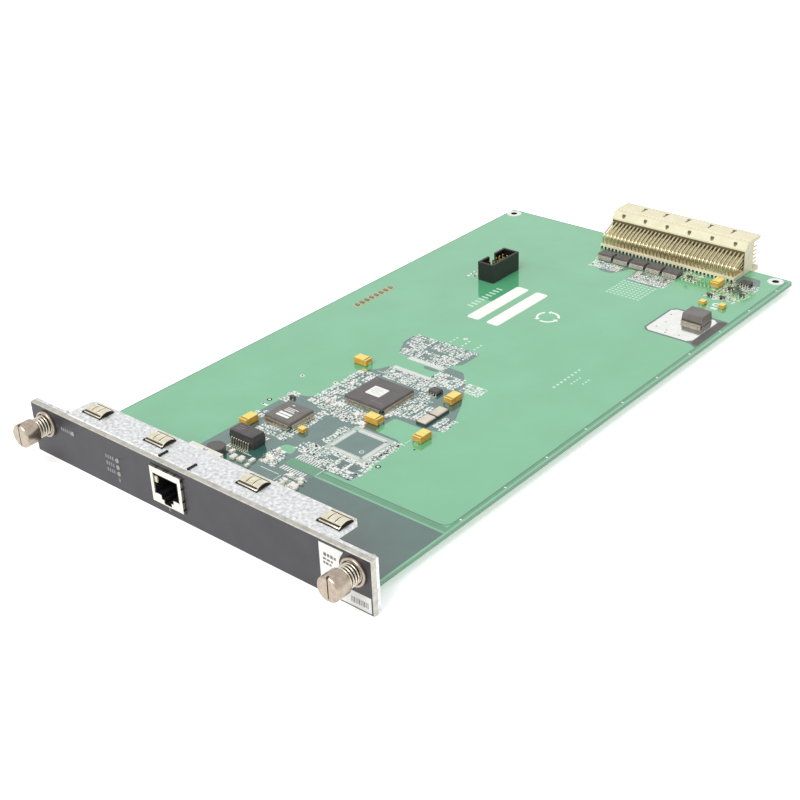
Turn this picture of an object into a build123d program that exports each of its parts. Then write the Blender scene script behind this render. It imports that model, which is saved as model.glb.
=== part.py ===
from build123d import *
import math
import os

os.makedirs("parts", exist_ok=True)

# All sizes in millimetres. X runs along the faceplate, Y from the front to the rear and Z up.

# driving sizes of the faceplate and the sheet metal behind it
panel_width = 172.8
panel_height = 21.4
panel_thickness = 2.2
panel_bevel = 0.3
sheet = 1.3
bend_radius = 0.5

# driving sizes of the board
board_width = 157.6
board_length = 294.2
board_thickness = 1.6
board_corner = 1.5
board_inset = 8.8
board_gap = 4.0

# clearances
press_clearance = 0.02
running_clearance = 0.05
hole_clearance = 0.1
cut_clearance = 0.4

# captive screws
screw_height = 14.9
left_screw_inset = 9.2
right_screw_inset = 7.3
screw_travel = 5.0
travel_spare = 0.1
head_radius = 4.75
head_length = 6.0
head_bevel = 0.45
slot_width = 0.9
slot_depth = 1.2
left_slot_turn = 9.6
right_slot_turn = -3.7
shank_radius = 2.0
groove_radius = 1.5
thread_pitch = 0.7
thread_depth = 0.35
thread_turns = 5
tip_length = 0.8
ferrule_proud = 1.5
ferrule_flange_radius = 5.3
ferrule_body_radius = 4.85
ferrule_wall = 0.5
ferrule_floor = 1.1
ferrule_rear = 0.5
ring_radius = 3.4
ring_thickness = 0.6
ring_mouth = 2.2
spring_wire = 0.65
spring_turns = 6.5
spring_radius = 3.75

# the long way round the whole module
shroud_overhang = 7.3
reach_front = ferrule_proud + screw_travel + travel_spare + head_length
reach_rear = board_gap + board_length + shroud_overhang
face_y = (reach_front - reach_rear) / 2

# levels and edges worked out from the above
panel_left = -panel_width / 2
panel_right = panel_width / 2
leg_front = face_y + panel_thickness
leg_rear = leg_front + sheet
board_left = panel_left + board_inset
board_right = board_left + board_width
board_front = face_y + board_gap
board_rear = board_front + board_length
tab_bottom = 1.75
board_bottom = tab_bottom + sheet
board_top = board_bottom + board_thickness

# top flange of the bracket
flange_left = panel_left + 18.5
flange_width = 136.0
flange_right = flange_left + flange_width
flange_drop = 0.5
flange_top = panel_height - flange_drop
flange_rear = face_y + 15.9
flange_corner = 1.8

# spring contacts on the flange
finger_middles = [flange_left + 8.8, flange_left + 43.5, flange_right - 44.55, flange_right - 6.75]
finger_width = 9.3
finger_strip = 0.2
finger_rise = 1.25
finger_front = face_y + 7.8
finger_heel = face_y + 14.5
finger_end = face_y + 15.5
finger_slit = 0.35
finger_slit_pitch = 3.1
finger_slit_margin = 1.5
window_front = face_y + 7.1
window_rear = face_y + 14.3
window_side = 0.5

# lanced tabs that carry the board
tab_middles = [board_left + 24.2, board_right - 36.4]
tab_width = 14.0
tab_rear = face_y + 13.5
tab_relief = 0.5
bracket_screw_y = face_y + 9.0
bracket_screw_radius = 1.5
pan_radius = 2.8
pan_height = 2.0
pan_round = 0.7
cross_width = 0.6
cross_length = 2.6
cross_depth = 0.9
screw_stick_out = 0.8

# shielded network jack
jack_middle = panel_left + 77.4
jack_width = 16.0
flange_slots = [jack_middle - 7.3, jack_middle + 7.8]
flange_slot_width = 0.9
flange_slot_length = 4.3
flange_slot_middle = face_y + 5.35
jack_height = 14.5
jack_length = 20.9
jack_front = face_y - 1.2
jack_sheet = 0.3
jack_insert_clearance = 0.05
jack_bottom = board_top
jack_top = jack_bottom + jack_height
port_top = 16.5
port_width = 12.2
port_floor = 8.4
port_step_width = 6.3
port_step_floor = 6.7
port_key_width = 3.9
port_key_floor = 5.1
port_depth = 14.0
shield_finger_width = 4.2
shield_side_finger_width = 3.6
shield_finger_length = 5.0
shield_finger_slit = 0.7
shield_finger_offset = 2.7
shield_finger_low = 7.9
shield_finger_high = 16.6
jack_tab_width = 1.6
jack_tab_y = jack_front + 9.0
contact_pitch = 1.02
contact_count = 8
contact_size = 0.45
contact_drop = 3.2
contact_start = 1.5
contact_run_out = 3.0
contact_root = 1.0

# lights
light_radius = 1.0
light_proud = 0.25
alarm_x = panel_left + 24.4
alarm_z = 15.5
alarm_block_width = 4.8
alarm_block_height = 13.15
status_x = panel_left + 49.6
status_heights = [13.0, 10.15, 7.3]
status_block_width = 5.2
status_block_height = 10.35
light_block_front = face_y + 4.2
alarm_block_depth = 4.8
status_block_depth = 5.8

# sticker round the right screw
label_left = panel_right - 22.4
label_right = panel_right - 0.8
label_bottom = 0.9
label_low_top = 6.9
label_top = 20.1
label_corner = panel_right - 11.8
label_slope = panel_right - 13.8
label_slope_z = 16.0
label_gap = 1.2
label_thickness = 0.1

# rear holes of the board
board_hole_radius = 1.6
left_hole_inset = 3.6
right_hole_inset = 6.4
rear_hole_inset = 4.5

# box header
header_x = board_left + 43.25
header_y = board_rear - 70.95
header_width = 8.8
header_length = 20.3
header_height = 9.1
header_wall = 1.1
header_floor = 2.5
header_key = 4.8
header_row_count = 2
header_column_count = 5
header_pitch = 2.54
header_pin = 0.64
header_pin_top = 8.2
pin_tail = 1.4

# backplane connector
connector_column_count = 36
connector_pitch = 2.0
connector_width = connector_column_count * connector_pitch
connector_right_inset = 21.31
connector_left = board_right - connector_right_inset - connector_width
connector_middle = connector_left + connector_width / 2
organizer_front = board_rear - 16.5
organizer_rear = board_rear - 7.3
organizer_height = 2.0
organizer_notch_width = 1.1
organizer_notch_height = 0.95
organizer_notch_depth = 1.2
housing_front = board_rear - 6.7
housing_step = board_rear + 0.1
shroud_rear = board_rear + shroud_overhang
shroud_root = board_rear + 1.3
housing_slope_foot = 16.9
housing_slope_top = board_rear - 5.1
housing_shelf_rear = board_rear - 2.0
housing_shelf_drop = 0.4
shroud_top = 20.3
shroud_wall = 1.9
shroud_floor = 5.0
keyway_pitch = 12.0
keyway_first = 12.0
keyway_count = 5
keyway_width = 1.0
keyway_length = 4.6
keyway_front = board_rear + 0.8
pick_hole_count = 6
pick_hole_size = 1.0
pick_hole_y = board_rear - 5.8
pin_row_count = 5
pin_row_pitch = 2.0
lowest_pin = 7.2
rear_leg_y = board_rear - 7.6
pin_fall = 24
pin_bend_radius = 1.0
pin_bend_growth = 0.3
connector_pin_width = 0.8
connector_pin_thickness = 0.4
connector_pin_end = board_rear + 6.3

# chips with leads round them
lead_sheet = 0.15
lead_shoulder = 0.225
lead_knee_share = 0.42
processor_x = board_left + 76.0
processor_y = board_front + 100.0
processor_size = 20.0
processor_top = 2.0
processor_reach = 1.0
framer_x = board_left + 58.2
framer_y = board_front + 66.8
framer_size = 14.0
framer_top = 2.3
framer_reach = 1.2
chip_standoff = 0.15
chip_taper = 0.35
row_margin = 0.75
paper_width = 7.5
paper_length = 6.8
paper_corner = 0.5
paper_thickness = 0.08
paper_shift = 1.0

# line transformer and choke
transformer_x = board_left + 59.0
transformer_y = board_front + 43.4
transformer_width = 12.7
transformer_length = 7.1
transformer_top = 5.3
transformer_reach = 1.2
transformer_lead_count = 8
lead_pitch = 1.27
transformer_lead_width = 0.6
choke_x = board_left + 54.7
choke_y = board_front + 31.0
choke_radius = 3.75
choke_height = 3.0

# buffers and small chips
buffer_first = connector_left + 9.11
buffer_y = board_rear - 24.1
buffer_count = 5
buffer_pitch = 8.9
buffer_width = 8.2
buffer_length = 5.3
buffer_top = 2.0
buffer_reach = 1.25
small_chip_places = [(board_left + 92.1, board_front + 115.8), (board_right - 15.4, board_rear - 15.2)]
small_chip_width = 4.9
small_chip_length = 3.9
small_chip_top = 1.6
small_chip_reach = 1.05
small_chip_lead_count = 4
small_chip_lead_width = 0.42

# crystals
crystal_x = board_left + 103.7
crystal_y = [board_front + 95.9, board_front + 103.5]
crystal_width = 5.0
crystal_length = 7.0
crystal_base_height = 0.8
crystal_lid_height = 0.6
crystal_lid_inset = 0.35

# tantalum capacitors, each with the turn of its long side
large_tantalum_length = 7.3
large_tantalum_width = 4.3
large_tantalum_height = 2.8
large_tantalum_places = [
    (board_left + 51.4, board_front + 118.0, 0),
    (board_left + 87.6, board_front + 83.7, 0),
    (board_left + 101.9, board_front + 114.5, 90),
    (board_left + 111.0, board_front + 84.4, 90),
    (board_left + 48.2, board_front + 54.5, 90),
    (board_right - 25.7, board_rear - 23.5, 90),
]
small_tantalum_length = 3.5
small_tantalum_width = 2.8
small_tantalum_height = 1.9
small_tantalum_places = [
    (board_left + 70.4, board_front + 61.6, 0),
    (board_right - 12.2, board_rear - 43.2, 90),
    (board_right - 21.2, board_rear - 44.5, 90),
]
terminal_sheet = 0.2
terminal_share = 0.5
terminal_foot = 0.8
terminal_rise_share = 0.45
tantalum_draft = 3

# regulator on its tinned pad
pad_left = board_right - 29.2
pad_width = 22.6
pad_front = board_rear - 80.6
pad_length = 24.6
pad_corner = 2.0
pad_thickness = 0.1
regulator_x = board_right - 14.7
regulator_y = board_rear - 61.2
regulator_width = 10.2
regulator_length = 8.6
regulator_top = 4.5
regulator_tab_thickness = 1.3
regulator_tab_reach = 1.2
regulator_lead_pitch = 5.08
regulator_lead_width = 1.2
regulator_lead_sheet = 0.4
regulator_lead_reach = 3.4
regulator_taper = 0.4
regulator_draft = 6
regulator_tab_length = 6.88
regulator_skirt_gap = 0.2
regulator_lead_shoulder = 1.2
regulator_lead_drop = 1.9

# small parts soldered near the chips
transistor_places = [
    (board_left + 48.6, board_front + 78.5),
    (board_right - 40.1, board_rear - 23.2),
    (board_right - 23.1, board_rear - 35.0),
    (board_right - 17.2, board_rear - 34.3),
    (board_right - 18.9, board_rear - 23.7),
    (board_right - 11.4, board_rear - 27.2),
]
transistor_width = 2.9
transistor_length = 1.3
transistor_top = 1.1
transistor_reach = 0.55
transistor_lead_width = 0.4
transistor_lead_pitch = 0.95
resistor_x = board_left + 11.4
resistor_first = board_front + 159.0
resistor_pitch = 3.27
resistor_count = 8
resistor_width = 2.2
resistor_length = 1.25
resistor_height = 0.6
passive_length = 2.0
passive_width = 1.25
passive_height = 0.9
passive_places = [
    (66.9, 84.3, 90),
    (62.6, 84.3, 90),
    (79.4, 83.2, 90),
    (85.7, 79.3, 0),
    (89.1, 89.5, 90),
    (75.7, 39.7, 0),
    (72.8, 46.0, 90),
    (74.6, 37.4, 0),
    (60.3, 101.5, 0),
    (90.3, 29.9, 90),
    (93.7, 30.3, 90),
    (96.8, 30.0, 90),
    (95.8, 34.0, 0),
    (71.3, 31.0, 90),
    (67.2, 32.4, 90),
    (63.5, 32.0, 90),
]


# helpers

def upright(y):
    # a sketch plane that faces the front, with X to the right and Z up
    return Plane.XZ.offset(-y)


def keep(piece, name):
    piece.part.label = name
    export_step(piece.part, f"parts/{name}.step")


def fold_back(left, width, top, rear):
    # sheet that rises behind the faceplate and folds to the rear, its upper face at the given height
    middle_y = leg_front + sheet / 2
    middle_z = top - sheet / 2
    turn = bend_radius + sheet / 2
    with BuildSketch(Plane.YZ.offset(left)) as section:
        with BuildLine():
            FilletPolyline(
                (middle_y, middle_z - turn - bend_radius),
                (middle_y, middle_z),
                (rear, middle_z),
                radius=turn,
            )
        trace(line_width=sheet)
    extrude(section.sketch, amount=width)


def gull_profile(shoulder, reach, rise):
    # side view of a lead that leaves a body at the shoulder height and lands flat on the board
    knee = reach * lead_knee_share
    t = lead_sheet
    return [
        (0, rise),
        (shoulder, rise),
        (knee, t),
        (reach, t),
        (reach, 0),
        (knee - t, 0),
        (shoulder - t, rise - t),
        (0, rise - t),
    ]


def moulded_body(x, y, width, length, top, taper):
    # a chip body that narrows evenly above and below its waist
    half_height = (top - chip_standoff) / 2
    with BuildSketch(Plane.XY.offset(board_top + chip_standoff + half_height)) as waist:
        with Locations((x, y)):
            Rectangle(width, length)
    draft = math.degrees(math.atan(taper / half_height))
    extrude(waist.sketch, amount=half_height, taper=draft)
    extrude(waist.sketch, amount=-half_height, taper=draft)


def lead_row(x, y, turn, edge, row_width, reach, rise):
    # leads along one side, whose feet point along +X before the turn, centred on the body at x, y
    place = Plane((x, y, board_top), z_dir=(0, 0, 1)).rotated((0, 0, turn))
    side = Plane(
        origin=place.from_local_coords((edge, row_width / 2, 0)),
        x_dir=place.x_dir,
        z_dir=-place.y_dir,
    )
    with BuildSketch(side) as lead:
        with BuildLine():
            Polyline(*gull_profile(lead_shoulder, reach, rise), close=True)
        make_face()
    extrude(lead.sketch, amount=row_width)


# faceplate, sticker and bracket

screw_places = [panel_left + left_screw_inset, panel_right - right_screw_inset]
light_places = [(alarm_x, alarm_z)] + [(status_x, z) for z in status_heights]
jack_cut_width = jack_width + 2 * cut_clearance
jack_cut_bottom = jack_bottom - cut_clearance
jack_cut_height = jack_height + 2 * cut_clearance
ferrule_hole_radius = ferrule_body_radius + press_clearance

with BuildPart() as faceplate:
    with BuildSketch(upright(face_y)):
        with Locations((0, panel_height / 2)):
            Rectangle(panel_width, panel_height)
    extrude(amount=-panel_thickness)
    chamfer(faceplate.faces().sort_by(Axis.Y)[0].edges(), panel_bevel)
    with BuildSketch(upright(face_y)):
        with Locations(*[(x, screw_height) for x in screw_places]):
            Circle(ferrule_hole_radius)
        with Locations((jack_middle, jack_cut_bottom + jack_cut_height / 2)):
            Rectangle(jack_cut_width, jack_cut_height)
        with Locations(*light_places):
            Circle(light_radius + running_clearance)
    extrude(amount=-panel_thickness, mode=Mode.SUBTRACT)
keep(faceplate, "faceplate")

with BuildPart() as serial_label:
    with BuildSketch(upright(face_y)):
        with BuildLine():
            Polyline(
                (label_left, label_bottom),
                (label_right, label_bottom),
                (label_right, label_low_top),
                (label_slope, label_low_top),
                (label_slope, label_slope_z),
                (label_corner, label_top),
                (label_left, label_top),
                close=True,
            )
        make_face()
        with Locations((screw_places[1], screw_height)):
            Circle(ferrule_flange_radius + label_gap, mode=Mode.SUBTRACT)
    extrude(amount=label_thickness)
keep(serial_label, "serial_label")

with BuildPart() as front_bracket:
    with BuildSketch(upright(leg_front)):
        with Locations((0, panel_height / 2)):
            Rectangle(panel_width, panel_height)
        with Locations((flange_left + flange_width / 2, panel_height)):
            Rectangle(
                flange_width,
                2 * (flange_drop + sheet + bend_radius),
                mode=Mode.SUBTRACT,
            )
        for middle in tab_middles:
            with Locations((middle, tab_bottom - bend_radius)):
                Rectangle(
                    tab_width + 2 * tab_relief,
                    tab_rear - leg_rear + sheet + 2 * bend_radius,
                    align=(Align.CENTER, Align.MIN),
                    mode=Mode.SUBTRACT,
                )
    extrude(amount=-sheet)
    fold_back(flange_left, flange_width, flange_top, flange_rear)
    flange_end = front_bracket.faces().sort_by(Axis.Y)[-1]
    chamfer(flange_end.edges().filter_by(Axis.Z), flange_corner)
    for middle in tab_middles:
        fold_back(middle - tab_width / 2, tab_width, board_bottom, tab_rear)
    with BuildSketch(Plane.XY.offset(flange_top)):
        with Locations(*[(x, (window_front + window_rear) / 2) for x in finger_middles]):
            Rectangle(finger_width + 2 * window_side, window_rear - window_front)
        with Locations(*[(x, flange_slot_middle) for x in flange_slots]):
            Rectangle(flange_slot_width, flange_slot_length)
    extrude(amount=-sheet, mode=Mode.SUBTRACT)
    with BuildSketch(Plane.XY.offset(board_bottom)):
        with Locations(*[(x, bracket_screw_y) for x in tab_middles]):
            Circle(bracket_screw_radius + running_clearance)
    extrude(amount=-sheet, mode=Mode.SUBTRACT)
    with BuildSketch(upright(leg_front)):
        with Locations(*[(x, screw_height) for x in screw_places]):
            Circle(ferrule_hole_radius)
        with Locations((jack_middle, jack_cut_bottom + jack_cut_height / 2)):
            Rectangle(jack_cut_width, jack_cut_height)
        with Locations(*light_places):
            Circle(light_radius + running_clearance)
    extrude(amount=-sheet, mode=Mode.SUBTRACT)
keep(front_bracket, "front_bracket")

# bowed strips that touch the neighbouring card, each one folded round the flange's rear edge strip
# through its window
for number, middle in enumerate(finger_middles, start=1):
    foot_z = flange_top + finger_strip / 2
    under_z = flange_top - sheet - finger_strip / 2
    with BuildPart() as ground_finger:
        with BuildSketch(Plane.YZ.offset(middle - finger_width / 2)):
            with BuildLine():
                Polyline((finger_end, under_z), (finger_front, under_z), (finger_front, foot_z))
                bow = ThreePointArc(
                    (finger_front, foot_z),
                    ((finger_front + finger_heel) / 2, foot_z + finger_rise),
                    (finger_heel, foot_z),
                )
                Line(bow @ 1, (finger_end, foot_z))
            trace(line_width=finger_strip)
        extrude(amount=finger_width)
        with BuildSketch(Plane.XY.offset(flange_top)):
            with Locations((middle, (finger_front + finger_heel) / 2)):
                with GridLocations(finger_slit_pitch, 1, 2, 1):
                    SlotCenterToCenter(
                        finger_heel - finger_front - 2 * finger_slit_margin, finger_slit, rotation=90
                    )
        extrude(amount=finger_rise + finger_strip, mode=Mode.SUBTRACT)
    keep(ground_finger, f"ground_finger_{number}")


# captive screws

def captive_screw(side, x, slot_turn):
    axis = Axis((x, face_y, screw_height), (0, 1, 0))
    half_section = Plane((x, face_y, screw_height))
    floor_front = panel_thickness + sheet + ferrule_rear - ferrule_floor
    floor_rear = floor_front + ferrule_floor

    with BuildPart() as ferrule:
        with BuildSketch(half_section):
            with BuildLine():
                Polyline(
                    (ferrule_body_radius - ferrule_wall, -ferrule_proud),
                    (ferrule_flange_radius, -ferrule_proud),
                    (ferrule_flange_radius, 0),
                    (ferrule_body_radius, 0),
                    (ferrule_body_radius, floor_rear),
                    (shank_radius + running_clearance, floor_rear),
                    (shank_radius + running_clearance, floor_front),
                    (ferrule_body_radius - ferrule_wall, floor_front),
                    close=True,
                )
            make_face()
        revolve(axis=axis)
        rim = ferrule.edges().filter_by(GeomType.CIRCLE).group_by(Axis.Y)[0]
        chamfer(rim.sort_by(Edge.length)[-1], panel_bevel)
    keep(ferrule, f"{side}_ferrule")

    head_rear = -ferrule_proud - screw_travel - travel_spare
    head_front = head_rear - head_length
    groove_rear = floor_rear + ring_thickness + 2 * running_clearance
    thread_start = groove_rear + thread_pitch
    thread_end = thread_start + thread_turns * thread_pitch
    with BuildPart() as thumbscrew:
        with BuildSketch(half_section):
            with BuildLine():
                outline = [
                    (0, head_front),
                    (head_radius - head_bevel, head_front),
                    (head_radius, head_front + head_bevel),
                    (head_radius, head_rear),
                    (shank_radius, head_rear),
                    (shank_radius, floor_rear),
                    (groove_radius, floor_rear),
                    (groove_radius, groove_rear),
                ]
                for turn in range(thread_turns):
                    crest = thread_start + turn * thread_pitch
                    outline.append((shank_radius - thread_depth, crest - thread_pitch / 2))
                    outline.append((shank_radius, crest))
                outline.append((shank_radius - thread_depth, thread_end - thread_pitch / 2))
                outline.append((groove_radius - thread_depth, thread_end + tip_length))
                outline.append((0, thread_end + tip_length))
                Polyline(*outline, close=True)
            make_face()
        revolve(axis=axis)
        slot_plane = Plane(
            (x, face_y + head_front, screw_height), x_dir=(1, 0, 0), z_dir=(0, -1, 0)
        ).rotated((0, 0, slot_turn))
        with BuildSketch(slot_plane):
            Rectangle(slot_width, 2 * (head_radius + head_bevel))
        extrude(amount=-slot_depth, mode=Mode.SUBTRACT)
    keep(thumbscrew, f"{side}_thumbscrew")

    with BuildPart() as retaining_ring:
        with BuildSketch(upright(face_y + floor_rear + running_clearance)):
            with Locations((x, screw_height)):
                Circle(ring_radius)
                Circle(groove_radius + running_clearance, mode=Mode.SUBTRACT)
                Rectangle(ring_mouth, 2 * ring_radius, align=(Align.CENTER, Align.MAX), mode=Mode.SUBTRACT)
        extrude(amount=-ring_thickness)
    keep(retaining_ring, f"{side}_retaining_ring")

    coil_front = head_rear + spring_wire / 2
    coil_rear = floor_front - spring_wire / 2
    with BuildPart() as spring:
        with BuildLine():
            coil = Helix(
                pitch=(coil_rear - coil_front) / spring_turns,
                height=coil_rear - coil_front,
                radius=spring_radius,
                center=(x, face_y + coil_front, screw_height),
                direction=(0, 1, 0),
            )
        with BuildSketch(Plane(origin=coil @ 0, z_dir=coil % 0)):
            RegularPolygon(spring_wire / 2, 6)
        sweep(path=coil, is_frenet=True)
    keep(spring, f"{side}_spring")


captive_screw("left", screw_places[0], left_slot_turn)
captive_screw("right", screw_places[1], right_slot_turn)


# board and its two front screws

jack_tab_places = [(jack_middle + side * (jack_width - jack_sheet) / 2, jack_tab_y) for side in (-1, 1)]
tab_screw_places = [(x, bracket_screw_y) for x in tab_middles]
header_grid = (header_pitch, header_pitch, header_row_count, header_column_count)
rear_hole_places = [board_left + left_hole_inset, board_right - right_hole_inset]
leg_field_y = rear_leg_y - (pin_row_count - 1) * pin_row_pitch / 2
column_grid = (connector_pitch, pin_row_pitch, connector_column_count, pin_row_count)

with BuildPart() as circuit_board:
    with BuildSketch(Plane.XY.offset(board_bottom)):
        with Locations(((board_left + board_right) / 2, (board_front + board_rear) / 2)):
            RectangleRounded(board_width, board_length, board_corner)
        with Locations(*[(x, board_rear - rear_hole_inset) for x in rear_hole_places]):
            Circle(board_hole_radius, mode=Mode.SUBTRACT)
        with Locations(*tab_screw_places):
            Circle(bracket_screw_radius + hole_clearance, mode=Mode.SUBTRACT)
        with Locations(*jack_tab_places):
            Rectangle(
                jack_sheet + 2 * hole_clearance,
                jack_tab_width + 2 * hole_clearance,
                mode=Mode.SUBTRACT,
            )
    extrude(amount=board_thickness)
keep(circuit_board, "circuit_board")

with BuildPart() as bracket_screws:
    with BuildSketch(Plane.XY.offset(board_top)):
        with Locations(*tab_screw_places):
            Circle(pan_radius)
    extrude(amount=pan_height)
    fillet(bracket_screws.edges().group_by(Axis.Z)[-1], pan_round)
    with BuildSketch(Plane.XY.offset(board_top + pan_height)):
        with Locations(*tab_screw_places):
            Rectangle(cross_length, cross_width)
            Rectangle(cross_width, cross_length)
    extrude(amount=-cross_depth, mode=Mode.SUBTRACT)
    with BuildSketch(Plane.XY.offset(board_top)):
        with Locations(*tab_screw_places):
            Circle(bracket_screw_radius)
    extrude(amount=-(board_thickness + sheet + screw_stick_out))
keep(bracket_screws, "bracket_screws")


# shielded network jack

jack_rear = jack_front + jack_length
jack_mid_z = jack_bottom + jack_height / 2
port_outline = [
    (port_width / 2, port_top),
    (port_width / 2, port_floor),
    (port_step_width / 2, port_floor),
    (port_step_width / 2, port_step_floor),
    (port_key_width / 2, port_step_floor),
    (port_key_width / 2, port_key_floor),
]
port_points = [(jack_middle + x, z) for x, z in port_outline]
port_points += [(jack_middle - x, z) for x, z in reversed(port_outline)]

with BuildPart() as network_jack_shell:
    with BuildSketch(upright(jack_front)):
        with Locations((jack_middle, jack_mid_z)):
            Rectangle(jack_width, jack_height)
    extrude(amount=-jack_length)
    with BuildSketch(upright(jack_front + jack_sheet)):
        with Locations((jack_middle, jack_top - jack_sheet)):
            Rectangle(
                jack_width - 2 * jack_sheet,
                jack_height,
                align=(Align.CENTER, Align.MAX),
            )
    extrude(amount=-(jack_length - 2 * jack_sheet), mode=Mode.SUBTRACT)
    with BuildSketch(upright(jack_front)):
        with BuildLine():
            Polyline(*port_points, close=True)
        make_face()
    extrude(amount=-jack_sheet, mode=Mode.SUBTRACT)
    # slits that free the spring fingers in the top and the sides
    slit_y = jack_front + jack_sheet + shield_finger_length / 2
    with BuildSketch(Plane.XY.offset(jack_top)):
        for side in (-1, 1):
            with Locations((jack_middle + side * shield_finger_offset, slit_y)):
                with GridLocations(shield_finger_width, 1, 2, 1):
                    Rectangle(shield_finger_slit, shield_finger_length)
    extrude(amount=-jack_sheet, mode=Mode.SUBTRACT)
    with BuildSketch(Plane.YZ.offset(jack_middle - jack_width / 2)):
        for level in (shield_finger_low, shield_finger_high):
            with Locations((slit_y, level)):
                with GridLocations(1, shield_side_finger_width, 1, 2):
                    Rectangle(shield_finger_length, shield_finger_slit)
    extrude(amount=jack_sheet, mode=Mode.SUBTRACT)
    mirror(about=Plane.YZ.offset(jack_middle), mode=Mode.INTERSECT)
    with BuildSketch(Plane.XY.offset(jack_bottom)):
        with Locations(*jack_tab_places):
            Rectangle(jack_sheet, jack_tab_width)
    extrude(amount=-board_thickness)
keep(network_jack_shell, "network_jack_shell")

insert_front = jack_front + jack_sheet
contact_y_end = insert_front + port_depth
contact_x = [jack_middle + (i - (contact_count - 1) / 2) * contact_pitch for i in range(contact_count)]
with BuildPart() as network_jack_insert:
    with BuildSketch(upright(insert_front)):
        with Locations((jack_middle, jack_top - jack_sheet - jack_insert_clearance)):
            Rectangle(
                jack_width - 2 * jack_sheet - 2 * jack_insert_clearance,
                jack_height - jack_sheet - jack_insert_clearance,
                align=(Align.CENTER, Align.MAX),
            )
    extrude(amount=-(jack_length - 2 * jack_sheet - jack_insert_clearance))
    with BuildSketch(upright(insert_front)):
        with BuildLine():
            Polyline(*port_points, close=True)
        make_face()
    extrude(amount=-port_depth, mode=Mode.SUBTRACT)
keep(network_jack_insert, "network_jack_insert")

with BuildPart() as network_jack_contacts:
    for x in contact_x:
        with BuildSketch(Plane.YZ.offset(x - contact_size / 2)):
            with BuildLine():
                Polyline(
                    (insert_front + contact_start, port_top - contact_size / 2),
                    (contact_y_end - contact_run_out, port_top - contact_drop),
                    (contact_y_end + contact_root, port_top - contact_drop),
                )
            trace(line_width=contact_size)
        extrude(amount=contact_size)
keep(network_jack_contacts, "network_jack_contacts")


# lights

def light(name, x, z):
    with BuildPart() as lens:
        with BuildSketch(upright(face_y - light_proud)):
            with Locations((x, z)):
                Circle(light_radius)
        extrude(amount=-(light_proud + light_block_front - face_y))
        fillet(lens.edges().filter_by(GeomType.CIRCLE).group_by(Axis.Y)[0], light_proud)
    keep(lens, name)


def light_block(name, x, width, height, depth):
    with BuildPart() as block:
        with BuildSketch(upright(light_block_front)):
            with Locations((x, board_top)):
                Rectangle(width, height, align=(Align.CENTER, Align.MIN))
        extrude(amount=-depth)
        chamfer(block.edges().filter_by(Axis.X).group_by(Axis.Z)[-1], panel_bevel)
    keep(block, name)


light("alarm_light", alarm_x, alarm_z)
for number, z in enumerate(status_heights, start=1):
    light(f"status_light_{number}", status_x, z)
light_block("alarm_light_block", alarm_x, alarm_block_width, alarm_block_height, alarm_block_depth)
light_block("status_light_block", status_x, status_block_width, status_block_height, status_block_depth)


# box header

with BuildPart() as header_shell:
    with BuildSketch(Plane.XY.offset(board_top)):
        with Locations((header_x, header_y)):
            Rectangle(header_width, header_length)
    extrude(amount=header_height)
    with BuildSketch(Plane.XY.offset(board_top + header_floor)):
        with Locations((header_x, header_y)):
            Rectangle(header_width - 2 * header_wall, header_length - 2 * header_wall)
        with Locations((header_x - header_width / 2, header_y)):
            Rectangle(4 * header_wall, header_key)
    extrude(amount=header_height, mode=Mode.SUBTRACT)
keep(header_shell, "header_shell")

with BuildPart() as header_pins:
    with BuildSketch(Plane.XY.offset(board_bottom - pin_tail)):
        with Locations((header_x, header_y)):
            with GridLocations(*header_grid):
                Rectangle(header_pin, header_pin)
    extrude(amount=pin_tail + board_thickness + header_pin_top)
keep(header_pins, "header_pins")


# backplane connector

with BuildPart() as connector_housing:
    with BuildSketch(Plane.YZ.offset(connector_left)):
        with BuildLine():
            Polyline(
                (housing_front, board_top),
                (housing_front, housing_slope_foot),
                (housing_slope_top, shroud_top - housing_shelf_drop),
                (housing_shelf_rear, shroud_top - housing_shelf_drop),
                (housing_shelf_rear, shroud_top),
                (shroud_rear, shroud_top),
                (shroud_rear, shroud_top - shroud_wall),
                (shroud_root, shroud_top - shroud_wall),
                (shroud_root, shroud_floor),
                (shroud_rear, shroud_floor),
                (shroud_rear, board_bottom),
                (housing_step, board_bottom),
                (housing_step, board_top),
                close=True,
            )
        make_face()
    extrude(amount=connector_width)
    keyway_middle = connector_left + keyway_first + (keyway_count - 1) * keyway_pitch / 2
    with BuildSketch(Plane.XY.offset(shroud_top)):
        with Locations((keyway_middle, keyway_front)):
            with GridLocations(keyway_pitch, 1, keyway_count, 1):
                Rectangle(keyway_width, keyway_length, align=(Align.CENTER, Align.MIN))
    extrude(amount=-shroud_wall, mode=Mode.SUBTRACT)
    with BuildSketch(Plane.XY.offset(shroud_top)):
        with Locations((connector_middle, pick_hole_y)):
            with GridLocations(keyway_pitch, 1, pick_hole_count, 1):
                Rectangle(pick_hole_size, pick_hole_size)
    extrude(amount=-(shroud_top - housing_slope_foot), mode=Mode.SUBTRACT)
keep(connector_housing, "connector_housing")

with BuildPart() as pin_organizer:
    organizer_depth = organizer_rear - organizer_front
    with BuildSketch(Plane.XY.offset(board_top)):
        with Locations((connector_middle, organizer_front)):
            Rectangle(connector_width, organizer_depth, align=(Align.CENTER, Align.MIN))
    extrude(amount=organizer_height)
    with BuildSketch(Plane.XY.offset(board_top)):
        with Locations((connector_middle, organizer_front)):
            with GridLocations(connector_pitch, 1, connector_column_count, 1):
                Rectangle(organizer_notch_width, 2 * organizer_notch_depth)
    extrude(amount=organizer_notch_height, mode=Mode.SUBTRACT)
keep(pin_organizer, "pin_organizer")

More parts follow.
